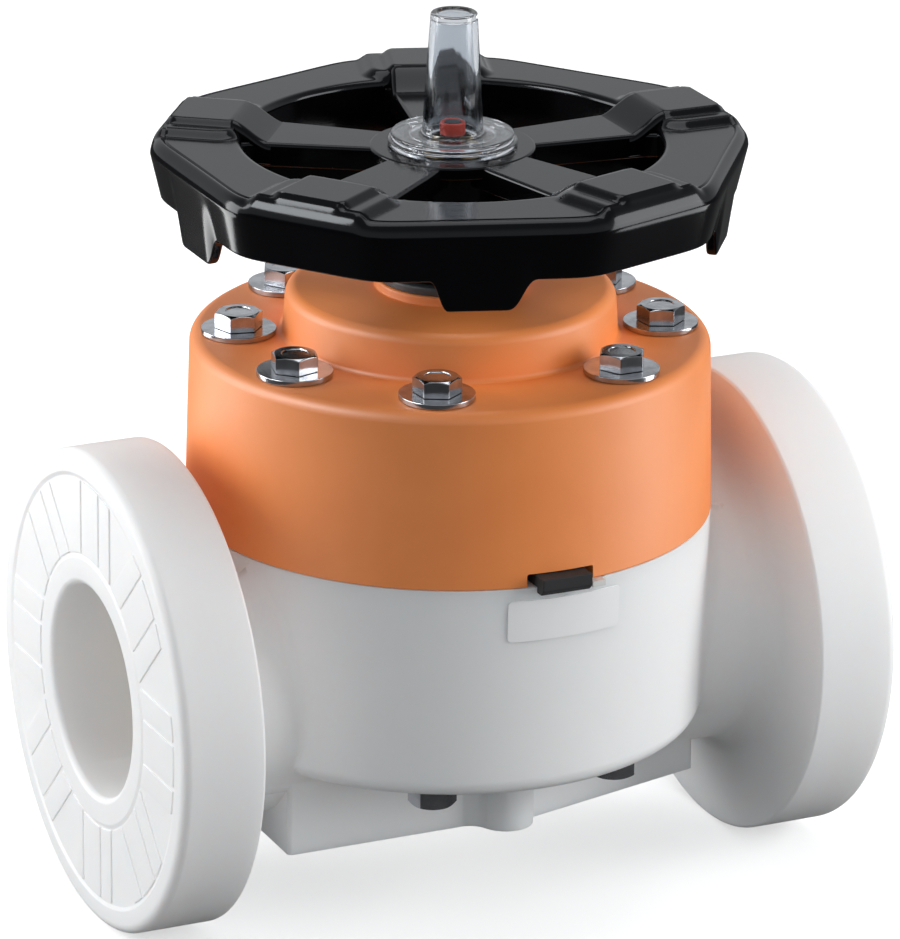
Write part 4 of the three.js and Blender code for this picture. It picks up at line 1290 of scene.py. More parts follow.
@dataclass
class BoltCircle:
    """Eight hexagon bolts with washers on the bonnet, four of them with nuts below."""

    radius: float = 0.0953
    axis_angle: float = math.radians(19.5)
    side_angle: float = math.radians(62.0)
    hole_radius: float = 0.0067
    face: float = 0.1485
    washer_radius: float = 0.017
    washer_thickness: float = 0.0025
    head_flats: float = 0.019
    head_height: float = 0.0075
    head_chamfer: float = 0.0013
    dish_radius: float = 0.0058
    dish_depth: float = 0.0005
    shank_radius: float = 0.006
    side_end: float = -0.044
    axis_end: float = 0.0525
    nut_washer_radius: float = 0.012
    nut_washer_thickness: float = 0.0016
    nut_height: float = 0.008
    bowl_floor: float = -0.0325
    face_gap: float = 0.0004
    head_trim: float = 0.0004
    head_margin: float = 0.001
    head_steepness: float = 1.1
    dish_ease: float = 0.0003
    shank_chamfer: float = 0.0008
    edge_ease: float = 0.00025
    washer_ease: float = 0.0003
    axis_seed: int = 238
    side_seed: int = 649
    nut_seed: int = 128

    def places(self, angle: float) -> list[Point2]:
        """The four mirrored places at an angle from the pipe's axis."""
        return [
            (x * self.radius * math.cos(angle), y * self.radius * math.sin(angle))
            for x in (-1, 1) for y in (-1, 1)
        ]

    def side_places(self) -> list[Point2]:
        """Places of the bolts beside the passage."""
        return self.places(self.side_angle)

    def axis_places(self) -> list[Point2]:
        """Places of the bolts over the passage."""
        return self.places(self.axis_angle)

    def hexagon(self, name: str, floor: float, height: float) -> Object:
        """Chamfered hexagon head standing on a floor."""
        top = floor + height
        body = prism(name, regular(6, self.head_flats), floor, top)
        wide = self.head_flats / math.sqrt(3) + self.head_margin
        turned = revolve("chamfer", [
            (0.0, floor), (wide, floor), (wide, top - self.head_chamfer * self.head_steepness),
            (self.head_flats / 2 - self.head_trim, top), (0.0, top),
        ], 96)
        return shape_with(body, [turned], Cut.KEEP)

    def bolt(self, name: str, end: float) -> Object:
        """One bolt, from its shank's end to its head, with a shallow mark-free dish."""
        floor = self.face + self.face_gap + self.washer_thickness
        head = self.hexagon(name, floor, self.head_height)
        top = floor + self.head_height
        sunk, above = top - self.dish_depth, top + OVERRUN / 2
        dish = revolve("dish", rounded([
            (0.0, sunk), (self.dish_radius, sunk, self.dish_ease),
            (self.dish_radius + self.dish_depth, above), (0.0, above),
        ], 4), 48)
        shape_with(head, [dish], Cut.REMOVE)
        thick, chamfer = self.shank_radius, self.shank_chamfer
        shank = revolve("shank", [
            (0.0, end), (thick - chamfer, end), (thick, end + chamfer),
            (thick, floor + OVERRUN), (0.0, floor + OVERRUN),
        ], 32)
        shape_with(head, [shank], Cut.JOIN)
        return softened(head, self.edge_ease, 2, 25.0)

    def washer(self, name: str, radius: float, floor: float, thickness: float) -> Object:
        """One flat washer with eased edges."""
        ease, inner, top = self.washer_ease, self.hole_radius, floor + thickness
        return softened(revolve(name, rounded([
            (inner, floor, ease), (radius, floor, ease),
            (radius, top, ease), (inner, top, ease),
        ], 3), 96))

    def nut(self, name: str, floor: float) -> Object:
        """One nut, chamfered on its lower side, round its bolt."""
        made = self.hexagon(name, floor, self.nut_height)
        top, over = floor + self.nut_height, OVERRUN / 2
        moved(made, Matrix.Translation((0, 0, floor + top)) @ Matrix.Scale(-1, 4, UP))
        hole = rod("hole", self.shank_radius + SEAT_GAP, floor - over, top + over)
        return softened(shape_with(made, [hole], Cut.REMOVE), self.edge_ease, 2, 25.0)

    def spread(self, shop: Workshop, made: Object, angles: Point2, count: int, seed: int) -> Object:
        """Stands copies of a piece at the bolt places, turned by chance where it has a seed."""
        return run_tree(made, shop.quadrants, {
            "Radius": self.radius,
            "First Angle": angles[0],
            "Second Angle": angles[1],
            "Count": count,
            "Twist": math.pi / 6 if seed else 0.0,
            "Seed": seed,
            "Finish": shop.palette.material(Palette.STEEL),
        })

    def build(self, shop: Workshop) -> None:
        """Makes bolts, washers and nuts."""
        axis, side = (self.axis_angle, self.axis_angle), (self.side_angle, self.side_angle)
        low = self.bowl_floor - SEAT_GAP - self.nut_washer_thickness
        high = self.face + SEAT_GAP
        wide, thick = self.washer_radius, self.washer_thickness
        low_wide, low_thick = self.nut_washer_radius, self.nut_washer_thickness
        both = (self.axis_angle, self.side_angle)
        for made, angles, count, seed, start in (
            (self.bolt("BoltsOverPassage", self.axis_end), axis, 4, self.axis_seed, "bolt_axis_"),
            (self.bolt("BoltsBesidePassage", self.side_end), side, 4, self.side_seed, "bolt_side_"),
            (self.washer("BonnetWashers", wide, high, thick), both, 8, 0, "washer_"),
            (self.washer("NutWashers", low_wide, low, low_thick), side, 4, 0, "nut_washer_"),
            (self.nut("Nuts", low - SEAT_GAP - self.nut_height), side, 4, self.nut_seed, "nut_side_"),
        ):
            copies = self.spread(shop, made, angles, count, seed)
            shop.place(copies, Palette.STEEL, Body.HOUSING, nodes_named(start))


@dataclass
class Bonnet:
    """Orange bonnet: drafted drum with a rounded shoulder, dome and lip round the collar."""

    floor: float = 0.0677
    radius: float = 0.1195
    top_radius: float = 0.1173
    top: float = 0.1485
    shoulder: float = 0.0055
    dome_radius: float = 0.0757
    dome_top_radius: float = 0.0742
    dome_top: float = 0.170
    dome_round: float = 0.0055
    dome_foot: float = 0.0024
    lip_radius: float = 0.0338
    lip_top: float = 0.174
    lip_round: float = 0.0012
    clamp_radius: float = 0.0792
    clamp_top: float = 0.0735
    throat_radius: float = 0.0662
    throat_round: float = 0.012
    chamber_radius: float = 0.0504
    chamber_roof: float = 0.1145
    boss_radius: float = 0.0174
    bearing_floor: float = 0.1497
    bearing_radius: float = 0.0254
    notch_half: float = 0.016
    notch_top: float = 0.0739
    notch_depth: float = 0.0725
    groove_half: float = 0.0064
    groove_reach: float = 0.0554
    segments: int = 192
    edge: float = 0.0007
    lip_foot: float = 0.0004
    lip_foot_round: float = 0.0008
    notch_ease: float = 0.001
    groove_lap: float = 0.001

    def build(self, shop: Workshop, bolts: BoltCircle) -> None:
        """Makes the bonnet."""
        made = self.shell()
        shape_with(made, [self.cavity(), self.groove(), self.notch()], Cut.REMOVE)
        shape_with(made, [
            stood(rod("hole", bolts.hole_radius, self.floor - OVERRUN, self.top + OVERRUN), place)
            for place in bolts.side_places() + bolts.axis_places()
        ], Cut.REMOVE)
        shop.place(softened(made, crease=32.0), Palette.ORANGE, Body.HOUSING, ["bonnet"])

    def shell(self) -> Object:
        """Outside of the bonnet."""
        outline = rounded([
            (0.0, self.floor),
            (self.radius, self.floor, self.edge),
            (self.top_radius, self.top, self.shoulder),
            (self.dome_radius, self.top, self.dome_foot),
            (self.dome_top_radius, self.dome_top, self.dome_round),
            (self.lip_radius + self.lip_foot, self.dome_top, self.lip_foot_round),
            (self.lip_radius, self.lip_top, self.lip_round),
            (0.0, self.lip_top),
        ], 12)
        return revolve("OrangeBonnet", outline, self.segments)

    def cavity(self) -> Object:
        """Clamp recess, compressor chamber, bush bore and bearing pocket."""
        ease, low, top = self.throat_round, self.floor - OVERRUN, self.lip_top + OVERRUN
        middle = (self.chamber_radius + ease, self.clamp_top + ease)
        outline = [
            (0.0, low),
            (self.clamp_radius, low),
            (self.clamp_radius, self.clamp_top),
            (self.throat_radius, self.clamp_top),
            *arc(middle, ease, -math.pi / 2, -math.pi, 8),
            (self.chamber_radius, self.chamber_roof),
            (self.boss_radius, self.chamber_roof),
            (self.boss_radius, self.bearing_floor),
            (self.bearing_radius, self.bearing_floor),
            (self.bearing_radius, top),
            (0.0, top),
        ]
        return revolve("cavity", outline, 96)

    def groove(self) -> Object:
        """Guide groove for the compressor's lugs."""
        half, reach = self.groove_half, self.groove_reach
        low = self.clamp_top - self.groove_lap
        return block("groove", (-half, -reach, low), (half, reach, self.chamber_roof))

    def notch(self) -> Object:
        """Notch in the lower edge for the diaphragm's tab."""
        half, low, ease = self.notch_half, self.floor - OVERRUN, self.notch_ease
        outline = rounded([
            (-half, low), (half, low),
            (half, self.notch_top, ease), (-half, self.notch_top, ease),
        ], 4)
        ends = (-self.radius - OVERRUN, -self.notch_depth)
        return loft("notch", [[(u, y, v) for u, v in outline] for y in ends])


@dataclass
class Diaphragm:
    """Both layers of the diaphragm: clamped rims with their tabs, and flexing middles."""

    inner_radius: float = 0.0662
    clamp_radius: float = 0.079
    facing_floor: float = 0.0648
    parting: float = 0.0675
    cushion_floor: float = 0.0677
    cushion_top: float = 0.0733
    tab_half: float = 0.012
    tab_face: float = 0.1265
    tab_drop: float = 0.0025
    tab_root: float = 0.0725
    wall: float = 0.1197
    facing_tab_middle: float = 0.0175
    facing_tab_width: float = 0.0065
    facing_tab_face: float = 0.122
    seat_flat: float = 0.013
    seat_low: float = 0.0198
    seat_steps: int = 6
    facing_thickness: float = 0.0027
    cushion_thickness: float = 0.0056
    layer_gap: float = 0.0003
    stud_floor: float = 0.0222
    stud_room: float = 0.0032
    head_room: float = 0.0072
    head_low: float = 0.0234
    head_high: float = 0.0258
    stud_top: float = 0.034
    lift: float = 0.040
    middle_ease: float = 0.0003
    cushion_ease: float = 0.0006
    facing_ease: float = 0.0003

    @staticmethod
    def seat_line(flat: float, radius: float, low: float, high: float, steps: int = 24) -> list[Point2]:
        """Curve of the closed diaphragm from the middle out to the clamp.

        Args:
            flat: radius of the flat middle.
            radius: radius where the clamp begins.
            low: height over the weir.
            high: height at the clamp.
            steps: number of straight pieces.

        Returns:
            Points of (radius, height).
        """
        shares = [i / steps for i in range(steps + 1)]
        return [(flat + (radius - flat) * s, low + (high - low) * smooth_step(s)) for s in shares]

    def build(self, shop: Workshop) -> None:
        """Makes both rims and both flexing middles."""
        shop.place(self.cushion(), Palette.RUBBER, Body.HOUSING, ["cushion_rim"])
        shop.place(self.facing(), Palette.FACING, Body.HOUSING, ["facing_rim"])
        above = self.facing_thickness + self.layer_gap
        for name, low, thickness, finish, node in (
            ("FacingMiddle", 0.0, self.facing_thickness, Palette.FACING, "facing_membrane"),
            ("CushionMiddle", above, self.cushion_thickness, Palette.RUBBER, "cushion_membrane"),
        ):
            made = self.middle(name, low, thickness)
            shop.place(made, finish, Body.STEM, [node])
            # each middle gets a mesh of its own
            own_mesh(made)

    def middle(self, name: str, low: float, thickness: float) -> Object:
        """Flexing middle of one layer, closed over the weir, with room for the stud.

        Args:
            name: name of the piece.
            low: height of its underside over the facing's.
            thickness: its thickness.

        Returns:
            The middle.
        """
        nominal = self.inner_radius - SEAT_GAP
        line = self.seat_line(
            self.seat_flat, nominal, self.seat_low, self.facing_floor, self.seat_steps
        )
        (u0, v0), (u1, v1) = line[-2:]
        edge = nominal - SEAT_GAP
        line[-1] = (edge, v0 + (v1 - v0) * (edge - u0) / (u1 - u0))
        line.insert(0, (0.0, self.seat_low))
        outline = [(u, v + low) for u, v in line]
        outline += [(u, v + low + thickness) for u, v in reversed(line)]
        stem, head = self.stud_room, self.head_room
        room = revolve("room", [
            (0.0, self.stud_floor), (stem, self.stud_floor), (stem, self.head_low),
            (head, self.head_low), (head, self.head_high), (stem, self.head_high),
            (stem, self.stud_top), (0.0, self.stud_top),
        ], 32)
        made = shape_with(revolve(name, outline, 96), [room], Cut.REMOVE)
        return softened(made, self.middle_ease, 2, 30.0)

    def cushion(self) -> Object:
        """Black cushion's rim and the tab that hangs out of the notch."""
        low, top, half = self.cushion_floor, self.cushion_top, self.tab_half
        drop, face, wall = self.tab_drop, self.tab_face, self.wall
        made = tube("CushionRim", self.inner_radius, self.clamp_radius, low, top)
        strip = block("strip", (-half, -wall, low), (half, -self.tab_root, top))
        side = [
            (-wall, low - drop), (-face + drop, low - drop), (-face, low), (-face, top), (-wall, top),
        ]
        head = loft("head", [[(x, y, z) for y, z in side] for x in (-half, half)])
        shape_with(made, [strip, head], Cut.JOIN)
        return softened(made, self.cushion_ease, 3, 28.0)

    def facing(self) -> Object:
        """White facing's rim and its small tab."""
        low, top = self.facing_floor, self.parting
        made = tube("FacingRim", self.inner_radius, self.clamp_radius, low, top)
        middle, half = self.facing_tab_middle, self.facing_tab_width / 2
        near, far = -self.facing_tab_face, -self.tab_root
        tab = block("tab", (middle - half, near, low), (middle + half, far, top))
        return softened(shape_with(made, [tab], Cut.JOIN), self.facing_ease, 2, 28.0)


@dataclass
class RatingPlate:
    """Bare plate on the bowl's wall under the tab."""

    left: float = math.radians(-101.8)
    right: float = math.radians(-75.3)
    low: float = 0.0425
    high: float = 0.0617
    thickness: float = 0.0005
    corner_round: float = 0.0022
    sunk_share: float = 0.6
    edge_ease: float = 0.0001
    columns: int = 40

    def build(self, shop: Workshop, body: ValveBody) -> None:
        """Makes the plate, curved to the wall."""
        wide = (self.right - self.left) * body.bowl_radius
        tall, ease = self.high - self.low, self.corner_round
        corners = ((0.0, 0.0), (wide, 0.0), (wide, tall), (0.0, tall))
        outline = rounded([(u, v, ease) for u, v in corners], 6)
        grid = self.grid(outline, self.columns)
        vertices = []
        for lift in (self.thickness, -self.thickness * self.sunk_share):
            for u, v in grid["points"]:
                turn = self.left + u / body.bowl_radius
                height = self.low + v
                radius = body.wall_radius(height) + lift
                vertices.append((radius * math.cos(turn), radius * math.sin(turn), height))
        count, border = len(grid["points"]), grid["border"]
        faces = [list(face) for face in grid["faces"]]
        faces += [[count + k for k in reversed(face)] for face in grid["faces"]]
        faces += [[b, a, count + a, count + b] for a, b in zip(border, border[1:] + border[:1])]
        made = mesh_object("RatingPlate", vertices, faces)
        shop.place(softened(made, self.edge_ease, 2, 40.0), Palette.PLATE, Body.HOUSING)

    @staticmethod
    def grid(outline: Sequence[Point2], columns: int) -> dict[str, list]:
        """Columns of quads that fill a rounded rectangle.

        Args:
            outline: the rounded outline, convex.
            columns: number of columns.

        Returns:
            Points, faces and the indices of the border in order.
        """
        wide = max(u for u, _ in outline)
        tall = max(v for _, v in outline)
        round_off = min(u for u, v in outline if v < 1e-9)
        points = []
        for i in range(columns + 1):
            u = wide * 0.5 * (1 - math.cos(math.pi * i / columns))
            near = min(u, wide - u)
            inset = 0.0
            if near < round_off:
                inset = round_off - math.sqrt(max(round_off**2 - (round_off - near) ** 2, 0.0))
            inset = min(inset, tall / 2 - 1e-5)
            points += [(u, inset), (u, tall - inset)]
        faces = [(a, a + 2, a + 3, a + 1) for a in range(0, 2 * columns, 2)]
        lower = [2 * i for i in range(columns + 1)]
        border = lower + [k + 1 for k in reversed(lower)]
        return {"points": points, "faces": faces, "border": border}


@dataclass
class Handwheel:
    """Black five-spoke handwheel: lobed hollow rim with pads, flared spokes, hub and disc."""

    top: float = 0.2385
    spokes: int = 5
    plain_reach: float = 0.129
    pad_face: float = 0.132
    lobe_face: float = 0.1275
    sharpness: float = 46.0
    window: float = 0.094
    shoulder: float = 0.007
    wall: float = 0.005
    depth: float = 0.0273
    inner_depth: float = 0.027
    inner_round: float = 0.003
    draft: float = 0.0045
    edge: float = 0.0012
    lobe_drop: float = 0.0138
    lobe_top: float = 0.052
    lobe_tip: float = 0.024
    tip_shift: float = 0.003
    pad_middle: float = 0.112
    pad_inner: float = 0.0965
    pad_outer: float = 0.1250
    pad_half: float = 0.0158
    pad_round: float = 0.003
    pad_slope: float = 0.0042
    pad_lift: float = 0.0056
    step_inner: float = 0.0980
    step_outer: float = 0.1600
    step_half: float = 0.0245
    step_round: float = 0.005
    step_slope: float = 0.0065
    step_lift: float = 0.0031
    crease: float = 0.0006
    spoke_top: float = 0.2351
    spoke_thickness: float = 0.011
    spoke_hub_half: float = 0.013
    spoke_rim_half: float = 0.019
    spoke_flare: float = 0.007
    rib_half: float = 0.005
    rib_depth: float = 0.018
    ramp_start: float = 0.079
    ramp_end: float = 0.0985
    hub_radius: float = 0.029
    hub_floor: float = 0.1781
    disc_radius: float = 0.0373
    disc_top: float = 0.2355
    disc_thickness: float = 0.006
    recess_radius: float = 0.022
    recess_floor: float = 0.2255
    bore_radius: float = 0.0172
    segments: int = 720
    inner_ease: float = 0.0012
    inner_drop: float = 0.001
    flare_start: float = 0.86
    spoke_low_ease: float = 0.001
    spoke_top_ease: float = 0.0018
    ramp_margin: float = 0.0028
    ramp_taper: float = 0.0010
    ramp_low: float = 0.0003
    ramp_high: float = 0.0001
    ramp_ease: float = 0.0035
    hub_ease: float = 0.001
    hub_fillet: float = 0.002
    disc_ease: float = 0.0012
    recess_ease: float = 0.0004
    spoke_steps: int = 16

    def section(self) -> list[tuple[float, float, float, float, float]]:
        """Section of the plain ring.

        Returns:
            Points of (radius, height, reach share, drop share, pad share), in order.
        """
        reach, top, window, edge = self.plain_reach, self.top, self.window, self.edge
        floor, ease = top - self.depth, self.inner_round
        inner_steps, flat_steps, arc_steps, skirt_steps, back_steps = 5, 26, 12, 10, 6
        curve = arc((window + ease, top - ease), ease, math.pi, math.pi / 2, inner_steps)
        points = [(u, v, 0.0, 0.0, i / inner_steps) for i, (u, v) in enumerate(curve)]
        start, end = window + ease, reach - self.shoulder
        for i in range(1, flat_steps + 1):
            share = i / flat_steps
            points.append((start + (end - start) * share, top, share, 0.0, 1.0))
        points.append((end + self.crease, top - self.crease, 1.0, 0.0, 1.0))
        end += 2 * self.crease
        for i in range(1, arc_steps + 1):
            a = math.pi / 2 * (1 - i / arc_steps)
            points.append((end + (reach - end) * math.cos(a),
                           top + self.shoulder * (math.sin(a) - 1), 1.0, 0.0,
                           1.0 - i / arc_steps))
        foot = reach - self.draft
        for i in range(1, skirt_steps + 1):
            share = i / skirt_steps
            low = top - self.shoulder + (floor + edge - top + self.shoulder) * share
            points.append((reach + (foot - reach) * share, low, 1.0, share, 0.0))
        inside, roof = foot - self.wall, top - self.wall
        curve = arc((foot - edge, floor + edge), edge, 0.0, -math.pi / 2, 4)[1:]
        curve += arc((inside + edge, floor + edge), edge, -math.pi / 2, -math.pi, 3)
        points += [(u, v, 1.0, 1.0, 0.0) for u, v in curve]
        for i in range(1, back_steps + 1):
            share = i / back_steps
            low = floor + edge + (roof - self.shoulder - floor - edge) * share
            out = inside + (reach - self.wall - inside) * share
            points.append((out, low, 1.0, 1.0 - share, 0.0))
        start, end = window + self.wall, reach - self.shoulder
        for i in range(back_steps + 1):
            share = 1 - i / back_steps
            points.append((start + (end - start) * share, roof, share, 0.0, 1.0))
        low, inset = top - self.inner_depth, self.inner_ease
        points += [(u, v, 0.0, 0.0, 0.0) for u, v in (
            (start, low), (start - inset, low - self.inner_drop),
            (window + inset, low - self.inner_drop), (window, low),
        )]
        return points

    def rim(self, shop: Workshop) -> Object:
        """Rim: a plain ring with its shares, bent by the rule of the wheel."""
        section = self.section()
        ring = revolve("Handwheel", [(u, v) for u, v, *_ in section], self.segments)
        for index, name in ((2, "reach_share"), (3, "drop_share"), (4, "pad_share")):
            shares = ring.data.attributes.new(name, "FLOAT", "POINT")
            values = [point[index] for point in section for _ in range(self.segments)]
            shares.data.foreach_set("value", values)
        sizes = {label: getattr(self, label.lower().replace(" ", "_")) for label in RIM_SIZES}
        sizes["Finish"] = shop.palette.material(Palette.BLACK)
        return run_tree(ring, lobed_rim_tree(self.spokes), sizes)

    def spoke_set(self, shop: Workshop) -> Object:
        """All spokes, flared towards the rim, each with its rib and its rise to the pad."""
        inner, outer = self.hub_radius - OVERRUN, self.window + self.wall / 2
        top, peak = self.spoke_top, self.top + self.pad_lift
        low, ease = top - self.spoke_thickness, self.spoke_low_ease

        def bar(out: float, half: float, floor: float, roof: float, round_off: float) -> list[Point3]:
            """Upright section across the spoke, its upper corners rounded."""
            ring = rounded([
                (-half, floor, ease), (half, floor, ease),
                (half, roof, round_off), (-half, roof, round_off),
            ], 8)
            return [(out, across, height) for across, height in ring]

        plates, rise = [], []
        for i in range(self.spoke_steps + 1):
            share = i / self.spoke_steps
            half = self.spoke_hub_half + (self.spoke_rim_half - self.spoke_hub_half) * share
            flare = max(0.0, (share - self.flare_start) / (1 - self.flare_start))
            half += self.spoke_flare * flare**2
            plates.append(bar(inner + (outer - inner) * share, half, low, top, self.spoke_top_ease))
            out = self.ramp_start + (self.ramp_end - self.ramp_start) * share
            start, end = top - self.ramp_low, peak - self.ramp_high
            half = self.pad_half + self.ramp_margin - self.ramp_taper * share
            roof = start + (end - start) * smooth_step(share)
            rise.append(bar(out, half, low + ease, roof, self.ramp_ease))
        rib = [bar(out, self.rib_half, low - self.rib_depth, top - OVERRUN, ease)
               for out in (inner, outer)]
        one = merged("spokes", [loft("plate", plates), loft("rise", rise), loft("rib", rib)])
        return shop.ring_of(shaded(one, 40.0), self.spokes, UP, Palette.BLACK)

    def hub(self) -> Object:
        """Hub, its disc and the recess under the cap."""
        low, top, recess = self.disc_top - self.disc_thickness, self.disc_top, self.recess_floor
        outline = rounded([
            (self.bore_radius, self.hub_floor),
            (self.hub_radius, self.hub_floor, self.hub_ease),
            (self.hub_radius, low, self.hub_fillet),
            (self.disc_radius, low, self.hub_ease),
            (self.disc_radius, top, self.disc_ease),
            (self.recess_radius, top, self.recess_ease),
            (self.recess_radius, recess),
            (self.bore_radius, recess),
        ], 5)
        return revolve("hub", outline, 128)

    def build(self, shop: Workshop) -> None:
        """Makes the wheel as one piece."""
        rim, spokes, hub = self.rim(shop), self.spoke_set(shop), self.hub()
        made = merged("Handwheel", [shaded(rim, 38.0), spokes, shaded(hub, 38.0)])
        shop.place(weighted(made), Palette.BLACK, Body.WHEEL, ["handwheel"])


@dataclass
class IndicatorCap:
    """Clear tapered cap over the indicator, standing on the wheel's disc."""

    floor: float = 0.2357
    flange_radius: float = 0.029
    flange_top: float = 0.2383
    step_radius: float = 0.0275
    step_top: float = 0.2413
    foot_radius: float = 0.0138
    top_radius: float = 0.0104
    peak: float = 0.2965
    wall: float = 0.0024
    top_wall: float = 0.0035
    dish_depth: float = 0.0008
    dish_margin: float = 0.0034
    spigot_radius: float = 0.0218
    spigot_wall: float = 0.0022
    spigot_depth: float = 0.0065
    ring_radius: float = 0.0057
    ring_low: float = 0.2403
    ring_high: float = 0.2461
    rod_radius: float = 0.004
    rod_low: float = 0.1882
    neck_radius: float = 0.0038
    dish_ease: float = 0.0006
    brim_ease: float = 0.0005
    peak_ease: float = 0.0012
    foot_fillet: float = 0.0018
    step_ease: float = 0.0007
    step_fillet: float = 0.0005
    flange_ease: float = 0.0006
    floor_ease: float = 0.0004
    spigot_ease: float = 0.001
    inner_ease: float = 0.0008
    ring_ease: float = 0.0006
    rod_ease: float = 0.0004
    rest_ease: float = 0.0002

    def build(self, shop: Workshop) -> None:
        """Makes the cap."""
        top, dish = self.peak - self.top_wall, self.peak - self.dish_depth
        margin, deep = self.top_radius - self.dish_margin, self.floor - self.spigot_depth
        spigot = self.spigot_radius - self.spigot_wall
        outline = rounded([
            (0.0, dish),
            (margin, dish, self.dish_ease),
            (margin + self.dish_depth, self.peak, self.brim_ease),
            (self.top_radius, self.peak, self.peak_ease),
            (self.foot_radius, self.step_top, self.foot_fillet),
            (self.step_radius, self.step_top, self.step_ease),
            (self.step_radius, self.flange_top, self.step_fillet),
            (self.flange_radius, self.flange_top, self.flange_ease),
            (self.flange_radius, self.floor, self.floor_ease),
            (self.spigot_radius, self.floor),
            (self.spigot_radius, deep),
            (spigot, deep),
            (spigot, self.flange_top, self.spigot_ease),
            (self.foot_radius - self.wall, self.flange_top, self.inner_ease),
            (self.top_radius - self.wall, top, self.inner_ease),
            (0.0, top),
        ], 5)
        made = softened(revolve("ClearCap", outline, 128), crease=35.0)
        shop.place(made, Palette.CLEAR, Body.WHEEL, ["indicator_cap"])

    def marks(self, shop: Workshop) -> None:
        """Makes the red ring on its rod."""
        low, high, rod_wide, neck = self.ring_low, self.ring_high, self.rod_radius, self.neck_radius
        outline = rounded([
            (rod_wide, low, self.rod_ease), (self.ring_radius, low, self.ring_ease),
            (self.ring_radius, high, self.ring_ease), (rod_wide, high, self.rod_ease),
        ], 4)
        ring = softened(revolve("RedRing", outline, 64))
        shop.place(ring, Palette.RED, Body.STEM, ["indicator_ring"])
        outline = rounded([
            (0.0, self.rod_low), (rod_wide, self.rod_low, self.rod_ease),
            (rod_wide, low - SEAT_GAP, self.rest_ease), (neck, low - SEAT_GAP),
            (neck, high, self.rod_ease), (0.0, high),
        ], 4)
        made = softened(revolve("IndicatorRod", outline, 48))
        shop.place(made, Palette.GREY, Body.STEM, ["indicator_rod"])


@dataclass
class Collar:
    """Dark collar screwed into the dome under the wheel."""

    low: float = 0.1605
    floor: float = 0.1742
    top: float = 0.1777
    radius: float = 0.0326
    spigot: float = 0.0252
    bore: float = 0.0174
    seal_room: float = 0.0206
    seal_low: float = 0.1651
    seal_high: float = 0.1679
    edge_ease: float = 0.0006
    top_ease: float = 0.0013

    def build(self, shop: Workshop) -> None:
        """Makes the collar."""
        outline = rounded([
            (self.bore, self.low), (self.spigot, self.low, self.edge_ease),
            (self.spigot, self.floor), (self.radius, self.floor),
            (self.radius, self.top, self.top_ease), (self.bore, self.top, self.edge_ease),
            (self.bore, self.seal_high), (self.seal_room, self.seal_high),
            (self.seal_room, self.seal_low), (self.bore, self.seal_low),
        ], 5)
        made = softened(revolve("BearingCollar", outline, 96))
        shop.place(made, Palette.GREY, Body.HOUSING, ["bearing_collar"])


def dress_frame(palette: Palette) -> None:
    """Gives every CAD node that stays its procedural material."""
    slots = {
        "compressor": Palette.GREY, "diaphragm_stud": Palette.SPINDLE, "spindle": Palette.SPINDLE,
        "spindle_pin": Palette.SPINDLE, "threaded_bush": Palette.BRASS, "bush_seal": Palette.RUBBER,
        "thrust_washer_lower": Palette.BRASS, "thrust_washer_upper": Palette.BRASS,
        "wheel_key": Palette.SPINDLE, "wheel_nut": Palette.STEEL,
    }
    for name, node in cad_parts.items():
        if node.hide_render:
            continue
        finish = slots.get(name, Palette.BRASS if "insert" in name else Palette.SPINDLE)
        material = palette.material(finish)
        for slot in node.material_slots:
            slot.material = material
        if not node.material_slots:
            node.data.materials.append(material)
        log.info("frame node %s: %s", name, finish.name)


# Studio


@dataclass(frozen=True)
class Lamp:
    """A soft white rectangular lamp."""

    name: str
    place: Point3
    aim: Point3
    size: Point2
    power: float

    def build(self) -> Object:
        """Hangs the lamp in its place, facing its aim."""
        data = bpy.data.lights.new(self.name, "AREA")
        data.shape = "RECTANGLE"
        data.size, data.size_y = self.size
        data.energy = self.power
        made = linked(self.name, data)
        direction = Vector(self.aim) - Vector(self.place)
        made.location = self.place
        made.rotation_euler = direction.to_track_quat("-Z", "Y").to_euler()
        return made


